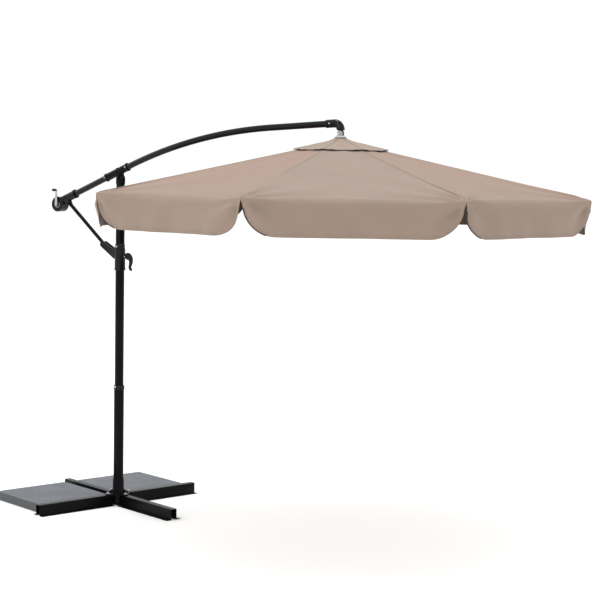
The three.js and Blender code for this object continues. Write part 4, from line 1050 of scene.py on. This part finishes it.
def sector_mesh(name, number, gores):
    """The cloth from mid panel to mid panel over a rib. Its two halves are one down to the slit."""
    after, before = gores_beside(number, gores)
    columns = half_columns(after.half)
    right, right_cut = after.grid(-columns)
    left, left_cut = before.grid(columns)
    joined_rows = ROOF_ROWS + 2
    rows, count = right.shape[:2]
    shift = rows * count
    points = [*right.reshape(-1, 3), *left.reshape(-1, 3)]
    cut = [*(right_cut.reshape(-1, 2) + (after.half, 0)), *(left_cut.reshape(-1, 2) - (before.half, 0))]

    def left_corner(vertex):
        on_rib = vertex % count == count - 1 and vertex // count < joined_rows
        return vertex if on_rib else vertex + shift

    faces = []
    for row in range(rows - 1):
        for column in range(count - 1):
            a, b = row * count + column, row * count + column + 1
            c, d = a + count, b + count
            faces.append([a, b, d, c])
            faces.append([left_corner(vertex) for vertex in (a, c, d, b)])
    # A painted warm sheen on every other roof panel, fading below the vent.
    sheen_share = []
    for gore, half in ((after, right), (before, left)):
        height = half[..., 2]
        roof = smooth_step(height, height[0].min() - WARM_FROM, height[0].min() - WARM_TO)
        sheen_share += [*(roof * (1 - gore.number % 2)).ravel()]
    used = sorted({vertex for face in faces for vertex in face})
    order = {vertex: place for place, vertex in enumerate(used)}
    faces = [[order[vertex] for vertex in face] for face in faces]
    return thickened(
        name, [points[v] for v in used], faces, CLOTH, [cut[v] for v in used], [sheen_share[v] for v in used]
    )


def gather(obj, number, keep):
    """Gives a piece of the canopy its own copy of its mesh."""
    axis = (*directions(rib_angle(number))[1], 0)
    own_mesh(obj)


def seam_line(number, aside, rise, start, end, count):
    """Points along the rib seam, to one side of it and raised from the cloth."""
    out, side = directions(rib_angle(number))
    fall = abs(aside) * math.tan(HALF_SECTOR) * math.tan(RIB_SLOPE)
    line = []
    for radius in np.linspace(start, end, count):
        flat = np.array((CENTRE.x, CENTRE.y)) + out * radius + side * aside
        line.append((*flat, seam_height(radius) - fall + rise))
    return line


def seam_mesh(name, number, size):
    """The felled seam over a rib: a low raised band."""
    end = size.radius - SEAM_END
    points, cut, faces = [], [], []
    for across, rise in SEAM_SECTION:
        aside = SEAM_HALF * across
        points += seam_line(number, aside, rise, size.vent + SEAM_START, end, SEAM_ROWS)
        cut += [(aside, row * (end - size.vent) / (SEAM_ROWS - 1)) for row in range(SEAM_ROWS)]
    for column in range(len(SEAM_SECTION) - 1):
        for row in range(SEAM_ROWS - 1):
            a, b = column * SEAM_ROWS + row, (column + 1) * SEAM_ROWS + row
            faces.append([a, a + 1, b + 1, b])
    return thickened(name, points, faces, SEAM_CLOTH, cut)


def edge_line(gore, columns, above):
    """The line round the free edge of a half flap, a little above its lower edge."""
    points, _ = gore.grid(columns)
    way = points[-2] - points[-1]
    way /= np.maximum(np.linalg.norm(way, axis=1), 1e-9)[:, None]
    return points[-1] + way * above + np.array((*gore.out, 0.0)) * EDGE_PROUD


def cloth_piece(name, number, mesh, finishes, stands_for=(), smooth=35.0):
    return piece(name, mesh, finishes, f"rib_{number}", stands_for, smooth=smooth)


def sewn_piece(name, number, lines, size):
    """Rows of stitches along lines."""
    mesh = grown(
        "stitch", name, path_mesh(lines), Spacing=size.stitch, Length=size.stitch * STITCH_SHARE,
        Thickness=STITCH_THICKNESS, Material=finish_of("thread"),
    )
    return cloth_piece(name, number, mesh, ["thread"])


def edge_piece(name, number, lines, radius, finish):
    """A rolled hem, or a dark strip painted as a shadow line, along lines, with the cut map that the cloth
    reads.
    """
    mesh = grown("tube", name, path_mesh(lines), Radius=radius, Sides=EDGE_SIDES, Material=finish_of(finish))
    layer = mesh.uv_layers.get("Cut") or mesh.uv_layers.new(name="Cut")
    places = np.zeros(len(mesh.vertices) * 3, np.float32)
    mesh.vertices.foreach_get("co", places)
    loops = np.zeros(len(mesh.loops), np.int32)
    mesh.loops.foreach_get("vertex_index", loops)
    flat = places.reshape(-1, 3)[loops]
    cut = np.column_stack([flat[:, 0] + flat[:, 1], flat[:, 2]])
    layer.data.foreach_set("uv", cut.astype(np.float32).ravel())
    return cloth_piece(name, number, mesh, [finish], smooth=60)


def build_canopy(size):
    """Eight sectors of the canopy, each riding on its rib, with their seams, hems and stitches."""
    gores = {number: Gore(number, size) for number in RIBS}
    for number in RIBS:
        after, before = gores_beside(number, gores)
        name = f"canopy_sector_{number}"
        cloth = cloth_piece(
            name, number, sector_mesh(name, number, gores), ["cloth", "shaded_underside"],
            [f"canopy_gore_{after.number}", f"canopy_gore_{before.number}"], smooth=50,
        )
        name = f"rib_seam_{number}"
        seam = cloth_piece(name, number, seam_mesh(name, number, size), ["cloth", "cloth"])
        columns = half_columns(after.half)[:-1]
        rows = [
            seam_line(
                number, side * SEAM_HALF * SEAM_STITCH_SHARE, SEAM_STITCH_RISE,
                size.vent + SEAM_STITCH_START, size.radius - SEAM_STITCH_END, SEAM_STITCH_POINTS,
            )
            for side in (-1, 1)
        ]
        hems = [edge_line(after, -columns, HEM_STITCH_RISE), edge_line(before, columns, HEM_STITCH_RISE)]
        stitches = sewn_piece(f"stitches_{number}", number, rows + hems, size)
        # A dark strip painted as the shadow line along the flap edge by the slit.
        first_shadowed = len(columns) - int((columns > after.half - SHADOW_STRIP_REACH).sum())
        shadow_line = edge_line(after, -columns[first_shadowed:], 0.0)
        binding = edge_piece(f"binding_{number}", number, [shadow_line], SHADOW_STRIP_RADIUS, "binding")
        plain_lines = [edge_line(after, -columns[: first_shadowed + 1], 0.0), edge_line(before, columns, 0.0)]
        hem = edge_piece(f"hem_{number}", number, plain_lines, HEM_RADIUS, "cloth")
        for part in (cloth, seam, stitches, hem, binding):
            gather(part, number, size.gather)


# ---------------------------------------------------------------- vent cap


def cap_height(radius):
    """Steep at its neck, then flatter."""
    return HANG.z - np.interp(radius, CAP_RADII, CAP_DROPS)


def cap_mesh(name, number, size):
    """The cap from mid panel to mid panel over a rib: round at its neck, eight-sided at its rim."""
    points, cut, faces = [], [], []
    angle = rib_angle(number)
    phase = np.random.default_rng(CAP_SEED + number).uniform(0, 2 * math.pi)
    for row in range(CAP_ROWS + 1):
        part = row / CAP_ROWS
        radius = size.neck + (size.cap_radius - size.neck) * part
        flatness = smooth_step(np.array(part), 0.1, 0.55)
        for column in range(-CAP_COLUMNS, CAP_COLUMNS + 1):
            share = abs(column) / CAP_COLUMNS / 2
            toward = SECTOR if column >= 0 else -SECTOR
            chord = directions(angle)[0] * (1 - share) + directions(angle + toward)[0] * share
            round_part = chord / np.linalg.norm(chord)
            flat = (round_part * (1 - flatness) + chord * flatness) * radius
            height = cap_height(radius) - CAP_SAG * part * 4 * share * (1 - share)
            wave = math.sin(8 * math.pi * share + phase) * 4 * share * (0.5 - share) * 4
            points.append((CENTRE.x + flat[0], CENTRE.y + flat[1], height + CAP_WAVE * part**3 * wave))
            cut.append((radius * toward * share, radius))
    width = 2 * CAP_COLUMNS + 1
    for row in range(CAP_ROWS):
        for column in range(width - 1):
            a = row * width + column
            faces.append([a, a + width, a + width + 1, a + 1])
    return thickened(name, points, faces, CAP_CLOTH, cut)


def build_cap(size):
    """The vent cap over the opening, in the same eight sectors, with two rows of stitches on each."""
    for number in RIBS:
        name = f"cap_sector_{number}"
        mesh = cap_mesh(name, number, size)
        cap = cloth_piece(name, number, mesh, ["cap cloth", "cap cloth"], ["vent_cap"], smooth=50)
        out, side = directions(rib_angle(number))
        start, end = size.neck + CAP_STITCH_START, size.cap_radius - CAP_STITCH_END
        lines = []
        for aside in (-CAP_STITCH_ASIDE, CAP_STITCH_ASIDE):
            line = []
            for radius in np.linspace(start, end, CAP_STITCH_POINTS):
                flat = np.array((CENTRE.x, CENTRE.y)) + out * radius + side * aside
                line.append((*flat, cap_height(radius) + CAP_STITCH_RISE))
            lines.append(line)
        stitches = sewn_piece(f"cap_stitches_{number}", number, lines, size)
        for part in (cap, stitches):
            gather(part, number, size.gather)


# ---------------------------------------------------------------- stage


def on_stage(name, data):
    obj = bpy.data.objects.new(name, data)
    bpy.context.scene.collection.objects.link(obj)
    return obj


def area_light(name, place, target, width, watts, colour=(1.0, 0.99, 0.98)):
    data = bpy.data.lights.new(name, "AREA")
    data.shape = "DISK"
    data.size = width
    data.energy = watts
    data.color = colour
    light = on_stage(name, data)
    light.location = place
    light.rotation_euler = (Vector(target) - Vector(place)).to_track_quat("-Z", "Y").to_euler()


def build_stage(size):
    """A pale floor, a white surround, soft lights and the camera."""
    scene = bpy.context.scene
    scene.view_settings.view_transform = "Standard"
    scene.view_settings.look = "None"
    world = bpy.data.worlds.new("Studio")
    world.use_nodes = True
    background = world.node_tree.nodes["Background"]
    background.inputs["Color"].default_value = (1, 1, 1, 1)
    background.inputs["Strength"].default_value = size.surround
    scene.world = world
    bm = bmesh.new()
    bmesh.ops.create_circle(bm, cap_ends=True, segments=96, radius=FLOOR_RADIUS)
    floor = from_bmesh("floor", bm, outward=False)
    pale = Finish("Pale floor").set(
        Base_Color=(FLOOR_GREY,) * 3, Roughness=0.95, Specular_IOR_Level=0.1,
        Emission_Color=(1, 1, 1), Emission_Strength=FLOOR_GLOW,
    )
    floor.materials.append(pale)
    on_stage("floor", floor)
    area_light("key", (1.0, -9.5, 6.5), (0.8, 0, 1.3), 5.0, size.key, (1.0, 0.99, 0.97))
    area_light("left fill", (-8.0, -3.0, 6.0), (1.4, 0, 1.6), 4.0, size.fill, WARM_LIGHT)
    area_light("right fill", (9.5, 4.0, 6.0), (1.4, 0, 1.6), 4.0, size.fill * 0.5, WARM_LIGHT)
    area_light("top", (0.8, 0.3, 9.0), (0.8, 0, 1.0), 1.6, size.top_light)
    camera = bpy.data.cameras.new("camera")
    camera.sensor_width = CAMERA_SENSOR
    camera.lens = CAMERA_LENS
    camera.clip_end = CAMERA_REACH
    yaw, pitch, roll = (math.radians(part) for part in CAMERA_TURN)
    ahead = Vector((math.cos(yaw) * math.cos(pitch), math.sin(yaw) * math.cos(pitch), math.sin(pitch)))
    level = Vector((math.sin(yaw), -math.cos(yaw), 0))
    upward = level.cross(ahead)
    right = level * math.cos(roll) + upward * math.sin(roll)
    above = upward * math.cos(roll) - level * math.sin(roll)
    turn = Matrix((right, above, -ahead)).transposed()
    view = on_stage("camera", camera)
    view.matrix_world = Matrix.Translation(CAMERA_PLACE) @ turn.to_4x4()
    scene.camera = view


# ---------------------------------------------------------------- settings, operators and panel


def colour_setting(name, description, default):
    return FloatVectorProperty(
        name=name, description=description, default=default, size=3, min=0, max=1, subtype="COLOR"
    )


def length_setting(name, description, default):
    return FloatProperty(name=name, description=description, default=default, unit="LENGTH")


def power_setting(name, description, default):
    return FloatProperty(name=name, description=description, default=default, min=0, unit="POWER")


class ParasolFrameSettings(bpy.types.PropertyGroup):
    coat_colour: colour_setting("Coat colour", "Colour of the powder coat", (0.0022, 0.0022, 0.0024))
    slab_colour: colour_setting("Slab colour", "Ground colour of the ballast slabs", (0.14, 0.152, 0.168))
    slab_edge: length_setting("Slab edge", "Width of the eased edge of a slab", 0.0025)
    drum_ring: length_setting("Drum ring", "Radius of the bright ring on the drum", 0.0215)


class ParasolClothSettings(bpy.types.PropertyGroup):
    colour: colour_setting("Cloth colour", "Colour of the woven cloth", (0.279, 0.208, 0.164))
    # The underside colour is painted shade: the dark under the canopy, put into the cloth's colour.
    shaded_underside: colour_setting("Underside colour", "Colour of the underside, painted dark as shade", (0.07, 0.043, 0.028))
    radius: length_setting("Radius", "Centre to rib tip", 1.5)
    vent: length_setting("Vent radius", "Radius of the opening under the cap", 0.18)
    flap: length_setting("Flap depth", "Drop of a flap below the rim", 0.2)
    flap_corner: length_setting("Flap corner", "Radius of the lower corners of a flap", 0.17)
    roll: length_setting("Rim roll", "Radius of the soft turn at the rim", 0.085)
    sag: length_setting("Sag", "Dip of a panel between its ribs", 0.014)
    fold: length_setting("Folds", "Height of the soft folds", 0.013)
    curl: length_setting("Curl", "Inward curl of the flap edges", 0.018)
    cap_radius: length_setting("Cap radius", "Centre to the cap's rim", 0.3)
    neck: length_setting("Cap neck", "Radius of the hole in the cap", 0.026)
    stitch: length_setting("Stitch", "Distance from stitch to stitch", 0.0055)
    gather: FloatProperty(
        name="Gather", description="Share of its width that a sector keeps when folded",
        default=0.128, min=0.05, max=1,
    )


class ParasolStageSettings(bpy.types.PropertyGroup):
    surround: FloatProperty(
        name="Surround", description="Strength of the white surround", default=1.04, min=0
    )
    key: power_setting("Key light", "Power of the key light", 190)
    fill: power_setting("Fill light", "Power of the fill light", 110)
    top_light: power_setting("Top light", "Power of the top light", 200)


class ParasolOperator:
    """What every operator here shares: it runs one builder with one group of settings."""

    bl_options = {"REGISTER", "UNDO"}

    def execute(self, context):
        settings = getattr(context.scene, self.settings)
        type(self).build(settings)
        return {"FINISHED"}


class PARASOL_OT_base(ParasolOperator, bpy.types.Operator):
    """Build the cross base with its slabs and foot"""

    bl_idname = "parasol.base"
    bl_label = "Base"
    settings = "parasol_frame"
    build = staticmethod(build_base)


class PARASOL_OT_poles(ParasolOperator, bpy.types.Operator):
    """Build the poles, their collar and the pole head"""

    bl_idname = "parasol.poles"
    bl_label = "Poles"
    settings = "parasol_frame"
    build = staticmethod(build_poles)


class PARASOL_OT_boom(ParasolOperator, bpy.types.Operator):
    """Build the tilting boom and the crank housing"""

    bl_idname = "parasol.boom"
    bl_label = "Boom"
    settings = "parasol_frame"
    build = staticmethod(build_boom)


class PARASOL_OT_crank(ParasolOperator, bpy.types.Operator):
    """Build the crank and its knob"""

    bl_idname = "parasol.crank"
    bl_label = "Crank"
    settings = "parasol_frame"
    build = staticmethod(build_crank)


class PARASOL_OT_slider(ParasolOperator, bpy.types.Operator):
    """Build the slider, its lever and the strut"""

    bl_idname = "parasol.slider"
    bl_label = "Slider"
    settings = "parasol_frame"
    build = staticmethod(build_slider)


class PARASOL_OT_hub(ParasolOperator, bpy.types.Operator):
    """Build the hub, the ribs and the stretchers"""

    bl_idname = "parasol.hub"
    bl_label = "Hub and ribs"
    settings = "parasol_frame"
    build = staticmethod(build_hub)


class PARASOL_OT_canopy(ParasolOperator, bpy.types.Operator):
    """Build the canopy cloth with its flaps, seams and stitches"""

    bl_idname = "parasol.canopy"
    bl_label = "Canopy"
    settings = "parasol_cloth"
    build = staticmethod(build_canopy)


class PARASOL_OT_cap(ParasolOperator, bpy.types.Operator):
    """Build the vent cap"""

    bl_idname = "parasol.cap"
    bl_label = "Vent cap"
    settings = "parasol_cloth"
    build = staticmethod(build_cap)


class PARASOL_OT_stage(ParasolOperator, bpy.types.Operator):
    """Build the floor, the lights and the camera"""

    bl_idname = "parasol.stage"
    bl_label = "Stage"
    settings = "parasol_stage"
    build = staticmethod(build_stage)


OPERATORS = (
    PARASOL_OT_base, PARASOL_OT_poles, PARASOL_OT_boom, PARASOL_OT_crank, PARASOL_OT_slider,
    PARASOL_OT_hub, PARASOL_OT_canopy, PARASOL_OT_cap, PARASOL_OT_stage,
)
SETTINGS = {
    "parasol_frame": ParasolFrameSettings,
    "parasol_cloth": ParasolClothSettings,
    "parasol_stage": ParasolStageSettings,
}


class PARASOL_PT_panel(bpy.types.Panel):
    """The parasol's settings, and a button for each group of pieces"""

    bl_idname = "PARASOL_PT_panel"
    bl_label = "Parasol"
    bl_space_type = "VIEW_3D"
    bl_region_type = "UI"
    bl_category = "Parasol"

    def draw(self, context):
        layout = self.layout
        for name, group in SETTINGS.items():
            box = layout.box()
            for prop in group.__annotations__:
                box.prop(getattr(context.scene, name), prop)
            for operator in OPERATORS:
                if operator.settings == name:
                    box.operator(operator.bl_idname)


def register():
    for made in (*SETTINGS.values(), *OPERATORS, PARASOL_PT_panel):
        bpy.utils.register_class(made)
    for name, group in SETTINGS.items():
        setattr(bpy.types.Scene, name, PointerProperty(type=group))


def unregister():
    for name in SETTINGS:
        delattr(bpy.types.Scene, name)
    for made in (PARASOL_PT_panel, *reversed(OPERATORS), *reversed(SETTINGS.values())):
        bpy.utils.unregister_class(made)


def main():
    register()
    for operator in OPERATORS:
        group, name = operator.bl_idname.split(".")
        getattr(getattr(bpy.ops, group), name)()


if __name__ == "__main__":
    main()
